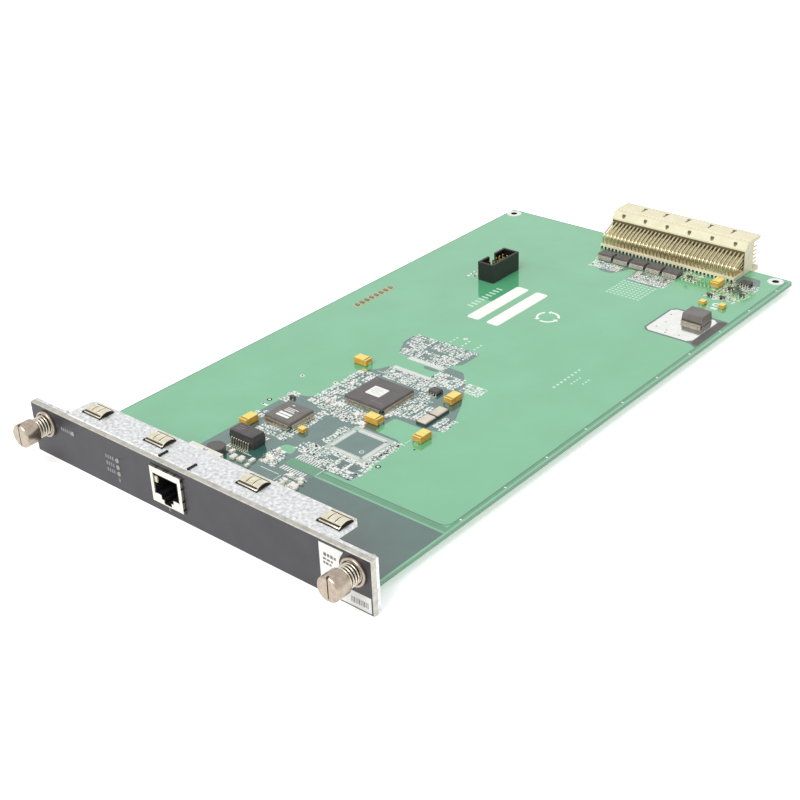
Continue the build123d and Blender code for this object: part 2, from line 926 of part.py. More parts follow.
with BuildPart() as connector_pins:
    # each row starts as a bent sheet over the full width, then the gaps between columns are cut;
    # the pins leave the housing level, fall towards the front and turn down into the board
    with BuildSketch(Plane.YZ.offset(connector_left)):
        for row in range(pin_row_count):
            leg_y = rear_leg_y - row * pin_row_pitch
            level = lowest_pin + row * pin_row_pitch
            knee = level - (housing_front - leg_y) * math.tan(math.radians(pin_fall))
            with BuildLine():
                FilletPolyline(
                    (leg_y, board_bottom - pin_tail),
                    (leg_y, knee),
                    (housing_front, level),
                    (connector_pin_end, level),
                    radius=pin_bend_radius + row * pin_bend_growth,
                )
            trace(line_width=connector_pin_thickness)
    extrude(amount=connector_width)
    with BuildSketch(Plane.XY.offset(board_bottom - pin_tail)):
        with Locations((connector_middle, organizer_front)):
            with GridLocations(connector_pitch, 1, connector_column_count + 1, 1):
                Rectangle(
                    connector_pitch - connector_pin_width,
                    shroud_rear - organizer_front,
                    align=(Align.CENTER, Align.MIN),
                )
    extrude(amount=shroud_top, mode=Mode.SUBTRACT)
keep(connector_pins, "connector_pins")


# chips

def flat_pack(name, x, y, size, top, reach):
    with BuildPart() as body:
        moulded_body(x, y, size, size, top, chip_taper)
    keep(body, f"{name}_body")
    rise = (top + chip_standoff) / 2 + lead_sheet / 2
    with BuildPart() as leads:
        for quarter in range(4):
            lead_row(x, y, quarter * 90, size / 2, size - 2 * row_margin, reach, rise)
    keep(leads, f"{name}_leads")


flat_pack("processor", processor_x, processor_y, processor_size, processor_top, processor_reach)
flat_pack("framer", framer_x, framer_y, framer_size, framer_top, framer_reach)

with BuildPart() as processor_label:
    with BuildSketch(Plane.XY.offset(board_top + processor_top)):
        with Locations((processor_x - paper_shift, processor_y)):
            RectangleRounded(paper_width, paper_length, paper_corner)
    extrude(amount=paper_thickness)
keep(processor_label, "processor_label")

with BuildPart() as transformer_body:
    moulded_body(
        transformer_x, transformer_y, transformer_width, transformer_length, transformer_top, chip_taper
    )
keep(transformer_body, "transformer_body")


def lead_comb(x, y, edge, reach, rise, count, pitch, width):
    # separate leads along the front and the rear of a body
    for turn in (90, -90):
        for i in range(count):
            along = (i - (count - 1) / 2) * pitch
            lead_row(x + along, y, turn, edge, width, reach, rise)


with BuildPart() as transformer_leads:
    lead_comb(
        transformer_x, transformer_y, transformer_length / 2, transformer_reach,
        (transformer_top + chip_standoff) / 2 + lead_sheet / 2,
        transformer_lead_count, lead_pitch, transformer_lead_width,
    )
keep(transformer_leads, "transformer_leads")

with BuildPart() as choke:
    with BuildSketch(Plane.XY.offset(board_top)):
        with Locations((choke_x, choke_y)):
            Circle(choke_radius)
    extrude(amount=choke_height)
    fillet(choke.edges().group_by(Axis.Z)[-1], panel_bevel)
keep(choke, "choke")

buffer_places = [(buffer_first + i * buffer_pitch, buffer_y) for i in range(buffer_count)]
with BuildPart() as buffer_chips:
    for x, y in buffer_places:
        moulded_body(x, y, buffer_width, buffer_length, buffer_top, chip_taper)
keep(buffer_chips, "buffer_chips")

with BuildPart() as buffer_chip_leads:
    for x, y in buffer_places:
        lead_comb(
            x, y, buffer_length / 2, buffer_reach,
            (buffer_top + chip_standoff) / 2 + lead_sheet / 2,
            1, buffer_pitch, buffer_width - row_margin,
        )
keep(buffer_chip_leads, "buffer_chip_leads")

with BuildPart() as small_chips:
    for x, y in small_chip_places:
        moulded_body(x, y, small_chip_width, small_chip_length, small_chip_top, chip_taper)
keep(small_chips, "small_chips")

with BuildPart() as small_chip_leads:
    for x, y in small_chip_places:
        lead_comb(
            x, y, small_chip_length / 2, small_chip_reach,
            (small_chip_top + chip_standoff) / 2 + lead_sheet / 2,
            small_chip_lead_count, lead_pitch, small_chip_lead_width,
        )
keep(small_chip_leads, "small_chip_leads")

with BuildPart() as crystal_bases:
    with BuildSketch(Plane.XY.offset(board_top)):
        with Locations(*[(crystal_x, y) for y in crystal_y]):
            Rectangle(crystal_width, crystal_length)
    extrude(amount=crystal_base_height)
keep(crystal_bases, "crystal_bases")

with BuildPart() as crystal_lids:
    with BuildSketch(Plane.XY.offset(board_top + crystal_base_height)):
        with Locations(*[(crystal_x, y) for y in crystal_y]):
            RectangleRounded(
                crystal_width - 2 * crystal_lid_inset,
                crystal_length - 2 * crystal_lid_inset,
                crystal_lid_inset,
            )
    extrude(amount=crystal_lid_height)
    chamfer(crystal_lids.edges().group_by(Axis.Z)[-1], crystal_lid_inset / 2)
keep(crystal_lids, "crystal_lids")


# capacitors

def tantalums(name, places, length, width, height):
    # a moulded block with a folded strip under each end
    body_length = length - 2 * terminal_sheet
    with BuildPart() as blocks:
        for x, y, turn in places:
            with BuildSketch(Plane.XY.offset(board_top + terminal_sheet)):
                with Locations(Location((x, y), turn)):
                    Rectangle(body_length, width)
            extrude(amount=height - terminal_sheet, taper=tantalum_draft)
    keep(blocks, name)
    with BuildPart() as terminals:
        for x, y, turn in places:
            with BuildSketch(Plane.XY.offset(board_top)):
                with Locations(Location((x, y), turn)):
                    with GridLocations(length - terminal_foot, 1, 2, 1):
                        Rectangle(terminal_foot, width * terminal_share)
            extrude(amount=terminal_sheet)
            with BuildSketch(Plane.XY.offset(board_top)):
                with Locations(Location((x, y), turn)):
                    with GridLocations(length - terminal_sheet, 1, 2, 1):
                        Rectangle(terminal_sheet, width * terminal_share)
            extrude(amount=height * terminal_rise_share)
    keep(terminals, f"{name[:-1]}_terminals")


tantalums(
    "large_tantalums", large_tantalum_places, large_tantalum_length, large_tantalum_width,
    large_tantalum_height,
)
tantalums(
    "small_tantalums", small_tantalum_places, small_tantalum_length, small_tantalum_width,
    small_tantalum_height,
)


# regulator on its tinned pad

pad_top = board_top + pad_thickness
with BuildPart() as heat_pad:
    with BuildSketch(Plane.XY.offset(board_top)) as pad_sketch:
        with Locations((pad_left + pad_width / 2, pad_front + pad_length / 2)):
            Rectangle(pad_width, pad_length)
        chamfer(pad_sketch.vertices(), pad_corner)
    extrude(amount=pad_thickness)
keep(heat_pad, "heat_pad")

regulator_front = regulator_y - regulator_length / 2
regulator_rear = regulator_y + regulator_length / 2
with BuildPart() as regulator_tab:
    with BuildSketch(Plane.XY.offset(pad_top)):
        with Locations((regulator_x, regulator_front - regulator_tab_reach)):
            Rectangle(
                regulator_width - 2 * regulator_taper,
                regulator_tab_reach + regulator_tab_length,
                align=(Align.CENTER, Align.MIN),
            )
    extrude(amount=regulator_tab_thickness)
keep(regulator_tab, "regulator_tab")

with BuildPart() as regulator_body:
    with BuildSketch(Plane.XY.offset(pad_top + regulator_tab_thickness)):
        with Locations((regulator_x, regulator_y)):
            Rectangle(regulator_width, regulator_length)
    extrude(amount=board_top + regulator_top - pad_top - regulator_tab_thickness, taper=regulator_draft)
    with BuildSketch(Plane.XY.offset(pad_top + regulator_tab_thickness)):
        with Locations((regulator_x, regulator_y)):
            Rectangle(regulator_width, regulator_length)
    extrude(amount=-(regulator_tab_thickness - regulator_skirt_gap))
    with BuildSketch(Plane.XY.offset(pad_top)):
        with Locations((regulator_x, regulator_front)):
            Rectangle(
                regulator_width - 2 * regulator_taper,
                regulator_tab_length,
                align=(Align.CENTER, Align.MIN),
            )
    extrude(amount=regulator_tab_thickness, mode=Mode.SUBTRACT)
keep(regulator_body, "regulator_body")

with BuildPart() as regulator_leads:
    for side in (-1, 1):
        middle = regulator_x + side * regulator_lead_pitch / 2
        with BuildSketch(Plane.YZ.offset(middle - regulator_lead_width / 2)):
            with BuildLine():
                lead_top = pad_top + regulator_tab_thickness + regulator_lead_sheet
                half = regulator_lead_sheet / 2
                Polyline(
                    (regulator_rear, lead_top),
                    (regulator_rear + regulator_lead_shoulder, lead_top),
                    (regulator_rear + regulator_lead_drop, board_top + half),
                    (regulator_rear + regulator_lead_reach, board_top + half),
                )
            trace(line_width=regulator_lead_sheet)
        extrude(amount=regulator_lead_width)
keep(regulator_leads, "regulator_leads")


# transistors, resistors and chip capacitors

with BuildPart() as transistors:
    for x, y in transistor_places:
        moulded_body(x, y, transistor_width, transistor_length, transistor_top, chip_taper / 2)
keep(transistors, "transistors")

with BuildPart() as transistor_leads:
    rise = (transistor_top + chip_standoff) / 2 + lead_sheet / 2
    edge = transistor_length / 2
    for x, y in transistor_places:
        for offset in (-transistor_lead_pitch, transistor_lead_pitch):
            lead_row(x + offset, y, -90, edge, transistor_lead_width, transistor_reach, rise)
        lead_row(x, y, 90, edge, transistor_lead_width, transistor_reach, rise)
keep(transistor_leads, "transistor_leads")

with BuildPart() as resistor_row:
    with BuildSketch(Plane.XY.offset(board_top)):
        with Locations((resistor_x, resistor_first + (resistor_count - 1) * resistor_pitch / 2)):
            with GridLocations(1, resistor_pitch, 1, resistor_count):
                Rectangle(resistor_width, resistor_length)
    extrude(amount=resistor_height)
keep(resistor_row, "resistor_row")

with BuildPart() as chip_passives:
    for x, y, turn in passive_places:
        with BuildSketch(Plane.XY.offset(board_top)):
            with Locations(Location((board_left + x, board_front + y), turn)):
                Rectangle(passive_length, passive_width)
        extrude(amount=passive_height)
keep(chip_passives, "chip_passives")
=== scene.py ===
import math
import bpy
import numpy as np
from mathutils import Matrix, Vector


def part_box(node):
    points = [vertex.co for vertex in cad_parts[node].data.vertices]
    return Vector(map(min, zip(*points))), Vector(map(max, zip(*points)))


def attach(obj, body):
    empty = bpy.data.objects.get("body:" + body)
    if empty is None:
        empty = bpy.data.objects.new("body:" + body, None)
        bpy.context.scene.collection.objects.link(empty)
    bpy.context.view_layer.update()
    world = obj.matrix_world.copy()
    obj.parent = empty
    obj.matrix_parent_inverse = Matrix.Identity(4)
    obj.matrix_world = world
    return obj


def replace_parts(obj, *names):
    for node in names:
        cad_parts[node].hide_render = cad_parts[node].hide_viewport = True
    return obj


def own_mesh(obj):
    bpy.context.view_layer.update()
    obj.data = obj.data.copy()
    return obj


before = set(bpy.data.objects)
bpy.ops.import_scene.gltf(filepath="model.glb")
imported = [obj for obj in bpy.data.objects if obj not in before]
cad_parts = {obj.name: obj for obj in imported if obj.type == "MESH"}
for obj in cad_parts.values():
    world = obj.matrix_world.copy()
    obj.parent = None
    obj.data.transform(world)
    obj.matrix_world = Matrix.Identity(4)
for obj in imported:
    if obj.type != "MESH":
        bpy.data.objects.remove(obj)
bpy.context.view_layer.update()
print("frame loaded")

mm = 0.001
leftEnd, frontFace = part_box("faceplate")[0][:2]   # every x and y below is counted from these
shift = np.array([leftEnd, frontFace, 0.0])


# places in millimetres from the faceplate's left end and front face, z from its lower edge
def inPlace(points):
    return np.asarray(points, dtype=float) * mm + shift


def edgesOf(node):
    low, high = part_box(node)
    return (np.array(low) - shift) / mm, (np.array(high) - shift) / mm


boardLow, boardHigh = edgesOf("circuit_board")
boardTop = boardHigh[2]


def linear(hexColour):
    # sRGB hex to the linear values that a shader takes
    parts = [int(hexColour[i:i + 2], 16) / 255 for i in (1, 3, 5)]
    return [p / 12.92 if p <= 0.04045 else ((p + 0.055) / 1.055) ** 2.4 for p in parts] + [1.0]


def addNode(tree, kind, links=None, **settings):
    # one node with its settings; a key that names an input sets that input, any other sets the node
    node = tree.nodes.new(kind)
    for key, value in settings.items():
        if hasattr(node, key):
            setattr(node, key, value)
    for key, value in settings.items():
        if not hasattr(node, key):
            node.inputs[key.replace("_", " ")].default_value = value
    for key, socket in (links or {}).items():
        tree.links.new(socket, node.inputs[key])
    return node


def newMaterial(name, roughness, ior=None):
    material = bpy.data.materials.new(name)
    material.use_nodes = True
    tree = material.node_tree
    shader = tree.nodes["Principled BSDF"]
    shader.inputs["Roughness"].default_value = roughness
    if ior:
        shader.inputs["IOR"].default_value = ior
    return material, tree, shader, addNode(tree, "ShaderNodeTexCoord").outputs["Object"]


def noise(tree, where, sizeMm, detail):
    node = addNode(tree, "ShaderNodeTexNoise", {"Vector": where}, Scale=1 / (sizeMm * mm), Detail=detail)
    return node.outputs["Fac"]


def speckle(tree, where, sizeMm, hexes, detail=3.0, ease=0.3):
    # a noise of that real size, eased at both ends, between two tones
    ramp = addNode(tree, "ShaderNodeValToRGB", {"Fac": noise(tree, where, sizeMm, detail)})
    for element, position, tone in zip(ramp.color_ramp.elements, (ease, 1 - ease), hexes):
        element.position = position
        element.color = linear(tone)
    return ramp.outputs["Color"]


def grain(tree, shader, where, sizeMm, depthMm, stretch=(1, 1, 1)):
    # surface relief of that real size and depth, drawn through the normal
    turned = addNode(tree, "ShaderNodeMapping", {"Vector": where}, Scale=stretch)
    height = noise(tree, turned.outputs["Vector"], sizeMm, 2.0)
    bump = addNode(tree, "ShaderNodeBump", {"Height": height}, Strength=0.6, Distance=depthMm * mm)
    tree.links.new(bump.outputs["Normal"], shader.inputs["Normal"])


def mixed(tree, shader, factor, first, second):
    colour = addNode(tree, "ShaderNodeMix", {"Factor": factor, "A": first, "B": second}, data_type="RGBA")
    tree.links.new(colour.outputs["Result"], shader.inputs["Base Color"])


def facingUp(tree):
    normal = addNode(tree, "ShaderNodeNewGeometry").outputs["Normal"]
    return addNode(tree, "ShaderNodeSeparateXYZ", {"Vector": normal}).outputs["Z"]


# materials

def surface(name, sizeMm, hexes, roughness, ridges=None, detail=3.0, metallic=0.0, ior=None):
    # two tones clouded into each other at that size, and the relief that its making left
    material, tree, shader, where = newMaterial(name, roughness, ior)
    tree.links.new(speckle(tree, where, sizeMm, hexes, detail), shader.inputs["Base Color"])
    shader.inputs["Metallic"].default_value = metallic
    if ridges:
        grain(tree, shader, where, *ridges)
    return material


def plated(name, sizeMm, hexes, roughness, ridges=None):
    return surface(name, sizeMm, hexes, roughness, ridges, metallic=1.0)


def moulded(name, hexes, roughness):
    # a filled moulding, an ink or a glaze: even colour, fine texture of 0.36 mm
    return surface(name, 3.6, hexes, roughness, (0.36, 0.01), ior=1.5)


def maskOver(name, hexes):
    # the board's glossy mask where copper lies under it
    return surface(name, 6.0, hexes, 0.12, ior=2.3)


def darkPaint():
    # dark grey paint on the front of a machined aluminium plate, which is bare on its rim and cut edges
    material, tree, shader, where = newMaterial("darkPaintedPlate", 0.4)
    depth = addNode(tree, "ShaderNodeSeparateXYZ", {"Vector": where}).outputs["Y"]
    edge = addNode(tree, "ShaderNodeMath", {0: depth}, operation="GREATER_THAN")
    edge.inputs[1].default_value = frontFace + 0.04 * mm
    mixed(tree, shader, edge.outputs[0], speckle(tree, where, 9.0, ["#333237", "#3b3a3f"]),
          speckle(tree, where, 2.0, ["#b2b0a7", "#cfccc3"]))
    tree.links.new(edge.outputs[0], shader.inputs["Metallic"])
    grain(tree, shader, where, 0.5, 0.012)
    return material


def zincSheet():
    # bright zinc plate over rolled steel: pale, cloudy, a fine rolling grain along its length
    material = surface("zincPlatedSheet", 1.4, ["#c3c6c9", "#fdfdfc"], 0.4, (0.35, 0.015, (0.12, 1, 1)),
                       detail=8.0, metallic=1.0)
    tree = material.node_tree
    cloud = noise(tree, tree.nodes["Texture Coordinate"].outputs["Object"], 2.5, 4.0)
    span = addNode(tree, "ShaderNodeMapRange", {"Value": cloud}, To_Min=0.34, To_Max=0.5)
    tree.links.new(span.outputs["Result"], tree.nodes["Principled BSDF"].inputs["Roughness"])
    return material


def solderMask():
    # glossy liquid mask over glass laminate: green on the faces, duller and browner on the routed edges
    material, tree, shader, where = newMaterial("greenSolderMask", 0.1, 2.5)
    flat = addNode(tree, "ShaderNodeMath", {0: facingUp(tree)}, operation="ABSOLUTE").outputs[0]
    mixed(tree, shader, flat, speckle(tree, where, 0.9, ["#3c7a58", "#4c8b66"]),
          speckle(tree, where, 22.0, ["#4eab76", "#59b582"], ease=0.25))
    rough = addNode(tree, "ShaderNodeMapRange", {"Value": flat}, To_Min=0.6, To_Max=0.1)
    tree.links.new(rough.outputs["Result"], shader.inputs["Roughness"])
    grain(tree, shader, where, 0.6, 0.002)
    return material


def amberMoulding():
    # yellow epoxy with painted light: a painted highlight makes the top that faces the light paler, and
    # painted shade makes the drafted sides a deeper orange
    material, tree, shader, where = newMaterial("amberMoulding", 0.35, 1.5)
    rise = addNode(tree, "ShaderNodeMapRange", {"Value": facingUp(tree)}, From_Min=0.3, From_Max=0.95)
    mixed(tree, shader, rise.outputs["Result"], speckle(tree, where, 1.5, ["#cb9630", "#dcac45"]),
          speckle(tree, where, 1.5, ["#f0d667", "#f6e183"]))
    grain(tree, shader, where, 0.3, 0.006)
    return material


materials = {
    "paint": darkPaint(),
    "zinc": zincSheet(),
    # nickel over turned brass: warm grey, fine rings from the lathe
    "nickel": plated("turnedNickelPlate", 1.6, ["#aa9c8c", "#c0b3a4"], 0.27, (0.3, 0.008, (0.15, 1, 0.15))),
    "wire": plated("drawnSpringWire", 1.0, ["#cfc6b8", "#ece6da"], 0.25),  # drawn steel, bright and smooth
    # tin over beryllium copper strip: bright with a faint straw tone
    "finger": plated("tinnedCopperStrip", 2.2, ["#d8cfb2", "#f2edda"], 0.22, (0.4, 0.012, (1, 0.1, 1))),
    "lead": plated("tinLeadPlate", 0.8, ["#cfc6ad", "#eae3d0"], 0.33),  # soft sheen, a little warm
    "dullTin": plated("dullTinnedCopper", 1.2, ["#8f897b", "#aaa496"], 0.4),  # dulled by the soldering heat
    # bright tinned sheet of the jack's shield, with a faint warm tone
    "sheetTin": plated("tinnedShieldSheet", 2.0, ["#e4e0d2", "#f5f2e8"], 0.3, (0.4, 0.01, (0.15, 1, 1))),
    # hot-air levelled solder: very bright, mirror smooth with soft hollows
    "pad": plated("levelledSolder", 3.0, ["#eeeeea", "#f8f8f6"], 0.12, (2.5, 0.02)),
    "gold": plated("hardGoldPlate", 1.0, ["#caa24a", "#e6c878"], 0.25),  # warm, bright
    # tin over bronze: the bent rows read as pale straw behind the cream moulding
    "pin": plated("tinnedBronzePin", 1.5, ["#c2b68f", "#e0d5b0"], 0.3),
    "mask": solderMask(),
    "groundZone": maskOver("maskOverGroundCopper", ["#35625b", "#3e6b63"]),  # grey green, glossy
    "stripZone": maskOver("maskOverChassisCopper", ["#184b45", "#21574f"]),  # the darkest green
    "trace": maskOver("maskOverTrace", ["#2c8556", "#358e60"]),  # a brighter green over copper
    "paleTrace": maskOver("maskOverPaleTrace", ["#6ab08c", "#78ba98"]),  # the palest green, over fine runs
    "deepTrace": maskOver("maskOverGap", ["#0f3d2e", "#174636"]),  # near black, where no copper lies
    "rim": moulded("bareLaminateRim", ["#64816a", "#73907a"], 0.5),  # dull glass laminate
    "shade": moulded("shadedMoulding", ["#584f38", "#6b6146"], 0.6),  # cream moulding in shadow
    "creamShade": moulded("shadedCreamPolyester", ["#bdb38f", "#c9c09e"], 0.5),  # cream in half light
    "shadedMask": moulded("shadedMask", ["#4a4846", "#565351"], 0.35),  # where the mask mirrors a part
    "bowShade": moulded("shadedCopper", ["#2a251a", "#37301f"], 0.7),  # under the spring contacts
    # painted shade: the black drawn into holes, slits, notches and gaps, and the dark rings of the targets
    "hole": moulded("shadowedCavity", ["#0d0d0d", "#151515"], 0.8),  # the black of a deep gap
    "band": moulded("brownPolarityBand", ["#a47d2b", "#b38c39"], 0.4),  # a darker stripe on the amber
    "silk": moulded("whiteEpoxyInk", ["#f4f6f0", "#fbfcf7"], 0.6),  # opaque, the whitest on the board
    "paleInk": moulded("thinWhiteInk", ["#bfe3cd", "#cbead7"], 0.5),  # so thin that green shows
    "faceInk": moulded("wornWhiteInk", ["#8b8a90", "#9c9ba0"], 0.6),  # rubbed white that reads grey
    "ink": moulded("greyPrintInk", ["#6f6d6a", "#7b7976"], 0.6),  # mid grey on paper
    "faintInk": moulded("paleGreyInk", ["#c4c2c0", "#cdcbc9"], 0.6),  # print so fine that it reads pale
    "faintPrint": moulded("laserMarkedEpoxy", ["#77706e", "#837c7a"], 0.5),  # a little paler than the body
    "pasteBand": moulded("pasteOverCopper", ["#a9bbb0", "#bccac1"], 0.4),  # dried paste, pale and even
    "epoxy": moulded("blackEpoxyMoulding", ["#524e4e", "#5f5a59"], 0.34),  # satin, greyed by its filler
    # paler than the black epoxy: the framer's body, and on the regulator painted sheen across its top
    "greyAndSheenEpoxy": moulded("paleEpoxyPaintedSheen", ["#66615d", "#736d69"], 0.34),  # paler, takes more light
    "darkEpoxy": moulded("dullBlackMoulding", ["#3f3c3c", "#4c4949"], 0.34),  # deeper, takes the least light
    "black": moulded("blackNylon", ["#161616", "#222222"], 0.4),  # deep black, softly glossy
    "header": moulded("darkPolyester", ["#121210", "#1c1c19"], 0.4),  # near black, satin
    "cream": moulded("creamPolyester", ["#e2dab9", "#ebe4c8"], 0.42),  # glass filled, even and matt
    "tantalum": amberMoulding(),
    "ceramic": moulded("firedCeramic", ["#cfc6b2", "#ddd6c6"], 0.5),  # warm beige, matt
    "glaze": moulded("paleCeramicGlaze", ["#ece6da", "#f6f2ea"], 0.35),  # off white, glossy
    "resistor": moulded("brownGlaze", ["#83785f", "#94886d"], 0.3),  # grey brown, a little glossy
    "paper": moulded("coatedPaper", ["#eeeeea", "#f4f4f0"], 0.55),  # flat white
    "lens": surface("diffusedLens", 1.0, ["#8b8c85", "#a1a29a"], 0.15, ior=1.49),  # clear, glossy, unlit
}
print("materials made")

fingers = [f"ground_finger_{number}" for number in range(1, 5)]
finishes = {
    "paint": ["faceplate"],
    "zinc": ["front_bracket"],
    "sheetTin": ["network_jack_shell"],
    "dullTin": ["regulator_tab"],
    "nickel": ["left_thumbscrew", "right_thumbscrew", "left_retaining_ring", "right_retaining_ring",
               "left_ferrule", "right_ferrule", "bracket_screws"],
    "wire": ["left_spring", "right_spring"],
    "finger": fingers,
    "black": ["network_jack_insert", "alarm_light_block", "status_light_block"],
    "gold": ["network_jack_contacts", "header_pins"],
    "lens": ["alarm_light", "status_light_1", "status_light_2", "status_light_3"],
    "mask": ["circuit_board"],
    "header": ["header_shell"],
    "cream": ["connector_housing", "pin_organizer"],
    "pin": ["connector_pins"],
    "epoxy": ["processor_body", "buffer_chips", "choke"],
    "greyAndSheenEpoxy": ["framer_body", "regulator_body"],
    "darkEpoxy": ["transformer_body", "small_chips", "crystal_bases", "transistors"],
    "paper": ["serial_label", "processor_label"],
    "lead": ["processor_leads", "framer_leads", "transformer_leads", "buffer_chip_leads",
             "small_chip_leads", "large_tantalum_terminals", "small_tantalum_terminals",
             "regulator_leads", "transistor_leads"],
    "pad": ["heat_pad"],
    "ceramic": ["crystal_lids"],
    "glaze": ["chip_passives"],
    "tantalum": ["large_tantalums", "small_tantalums"],
    "resistor": ["resistor_row"],
}
for finish, nodes in finishes.items():
    for node in nodes:
        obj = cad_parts[node]
        if not obj.material_slots:
            obj.data.materials.append(materials[finish])
        for place in obj.material_slots:
            place.link = "OBJECT"
            place.material = materials[finish]
print("nodes dressed")

# small rounds on the moulded, folded and turned edges, in millimetres
edgeRounds = {
    0.08: ["faceplate", *fingers, "heat_pad", "crystal_lids", "chip_passives", "large_tantalum_terminals",
           "small_tantalum_terminals"],
    0.12: ["connector_pins", "header_pins", "network_jack_shell", "regulator_tab", "crystal_bases",
           "resistor_row", "transistors", "small_chips", "pin_organizer"],
    0.2: ["front_bracket", "left_ferrule", "right_ferrule", "header_shell", "connector_housing",
          "processor_body", "framer_body", "transformer_body", "buffer_chips", "large_tantalums",
          "small_tantalums", "regulator_body", "alarm_light_block", "status_light_block"],
    0.3: ["left_thumbscrew", "right_thumbscrew", "choke"],
}
roundSettings = {"join": 0.004, "steps": 2, "sharp": 35}
for width, nodes in edgeRounds.items():
    for node in nodes:
        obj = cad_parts[node]
        weld = obj.modifiers.new("joinSeams", "WELD")
        weld.merge_threshold = roundSettings["join"] * mm
        bevel = obj.modifiers.new("edgeRound", "BEVEL")
        bevel.width = width * mm
        bevel.segments = roundSettings["steps"]
        bevel.limit_method = "ANGLE"
        bevel.angle_limit = math.radians(roundSettings["sharp"])
        bevel.use_clamp_overlap = True
print("edges rounded")


# mesh making: every piece is whole arrays of points and faces

def putMesh(name, shape, finish, body="module", smooth=False):
    points, faces = shape
    mesh = bpy.data.meshes.new(name)
    mesh.from_pydata(inPlace(points).tolist(), [], [list(map(int, f)) for f in faces])
    mesh.update()
    if smooth:
        mesh.polygons.foreach_set("use_smooth", np.ones(len(mesh.polygons), dtype=bool))
    obj = bpy.data.objects.new(name, mesh)
    bpy.context.scene.collection.objects.link(obj)
    obj.data.materials.append(materials[finish])
    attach(obj, body)
    return obj


def gridFaces(rows, columns, closeRows=False, closeColumns=False):
    # quads of a grid of points, numbered row by row
    r = np.arange(rows if closeRows else rows - 1)
    c = np.arange(columns if closeColumns else columns - 1)
    r, c = np.meshgrid(r, c, indexing="ij")
    rn, cn = (r + 1) % rows, (c + 1) % columns
    corners = [r * columns + c, r * columns + cn, rn * columns + cn, rn * columns + c]
    return np.stack(corners, -1).reshape(-1, 4)


boxCorners = np.array([[x, y, z] for x in (-0.5, 0.5) for y in (-0.5, 0.5) for z in (0, 1)])
boxFaces = np.array([[0, 1, 3, 2], [4, 6, 7, 5], [0, 4, 5, 1], [2, 3, 7, 6], [0, 2, 6, 4], [1, 5, 7, 3]])


def blocks(places, sizes, low, high):
    # one upright block at each place; sizes are width and length, turned by the third value in degrees
    places = np.asarray(places, dtype=float)
    sizes = np.broadcast_to(np.asarray(sizes, dtype=float), (len(places), 2))
    turn = np.radians(places[:, 2]) if places.shape[1] > 2 else np.zeros(len(places))
    x = boxCorners[:, 0][None] * sizes[:, :1]
    y = boxCorners[:, 1][None] * sizes[:, 1:]
    cos, sin = np.cos(turn)[:, None], np.sin(turn)[:, None]
    z = low + boxCorners[:, 2] * (high - low)
    points = np.stack([places[:, :1] + x * cos - y * sin, places[:, 1:2] + x * sin + y * cos,
                       np.broadcast_to(z, x.shape)], -1).reshape(-1, 3)
    faces = (boxFaces[None] + np.arange(len(places))[:, None, None] * 8).reshape(-1, 4)
    return points, faces


def bars(rows, low, high):
    # upright blocks given as rows of x, y, width and length
    rows = np.asarray(rows, dtype=float)
    return blocks(rows[:, :2], rows[:, 2:], low, high)


def plateOf(outline, low, high):
    # a flat plate with that outline, counter-clockwise
    outline = np.asarray(outline, dtype=float)
    n = len(outline)
    points = np.concatenate([np.c_[outline, np.full(n, low)], np.c_[outline, np.full(n, high)]])
    sides = [[i, (i + 1) % n, n + (i + 1) % n, n + i] for i in range(n)]
    return points, sides + [list(range(n - 1, -1, -1)), list(range(n, 2 * n))]


def drawnOut(profile, width):
    # a flat profile in the YZ plane, given as (reach, height) pairs, drawn out over a width along X
    profile = np.asarray(profile, dtype=float)
    n = len(profile)
    points = np.concatenate([np.c_[np.full(n, side * width / 2), profile] for side in (-1, 1)])
    sides = [[i, n + i, n + (i + 1) % n, (i + 1) % n] for i in range(n)]
    return points, sides + [list(range(n)), list(range(2 * n - 1, n - 1, -1))]


def rings(places, inner, outer, low, high, sides=24):
    # a flat ring at each place: four circles carried round, closed on themselves
    angle = np.linspace(0, 2 * np.pi, sides, endpoint=False)
    radius = np.array([outer, outer, inner, inner])
    level = np.array([low, high, high, low])
    ring = np.stack([np.outer(np.cos(angle), radius), np.outer(np.sin(angle), radius),
                     np.broadcast_to(level, (sides, 4))], -1)
    places = np.asarray(places, dtype=float)
    points = (ring[None] + np.c_[places[:, :2], np.zeros(len(places))][:, None, None]).reshape(-1, 3)
    faces = gridFaces(sides, 4, True, True)
    return points, (faces[None] + np.arange(len(places))[:, None, None] * sides * 4).reshape(-1, 4)


def moved(shape, x):
    return shape[0] + np.array([x, 0, 0]), shape[1]


def joined(*parts):
    points, faces, count = [], [], 0
    for p, f in parts:
        points.append(p)
        faces.extend([[int(v) + count for v in face] for face in f])
        count += len(p)
    return np.concatenate(points), faces


# leads that leave a chip body at half its height, bend down and land flat on the board
leadSettings = {"sheet": 0.15, "bendFrom": 0.12, "bendOver": 0.5, "steps": 16}
bufferRow = {"count": 5, "pitch": 8.9, "perSide": 12, "leadPitch": 0.635, "leadWidth": 0.3, "reach": 1.25,
             "padMiddle": 4.0}


def gullWing(reach, rise):
    # the lead's side view: a flat run, an eased slope down and a flat foot, as one strip of even thickness
    s = leadSettings
    t = np.linspace(0, 1, s["steps"])
    ease = 0.5 - 0.5 * np.cos(np.pi * np.clip((t - s["bendFrom"]) / s["bendOver"], 0, 1))
    along = t * reach
    middle = (rise - s["sheet"] / 2) * (1 - ease) + s["sheet"] / 2 * ease
    slope = np.gradient(middle, along)
    scale = s["sheet"] / 2 / np.sqrt(1 + slope ** 2)
    upper = np.c_[along - slope * scale, middle + scale]
    lower = np.c_[along + slope * scale, middle - scale]
    return np.concatenate([lower, upper[::-1]])


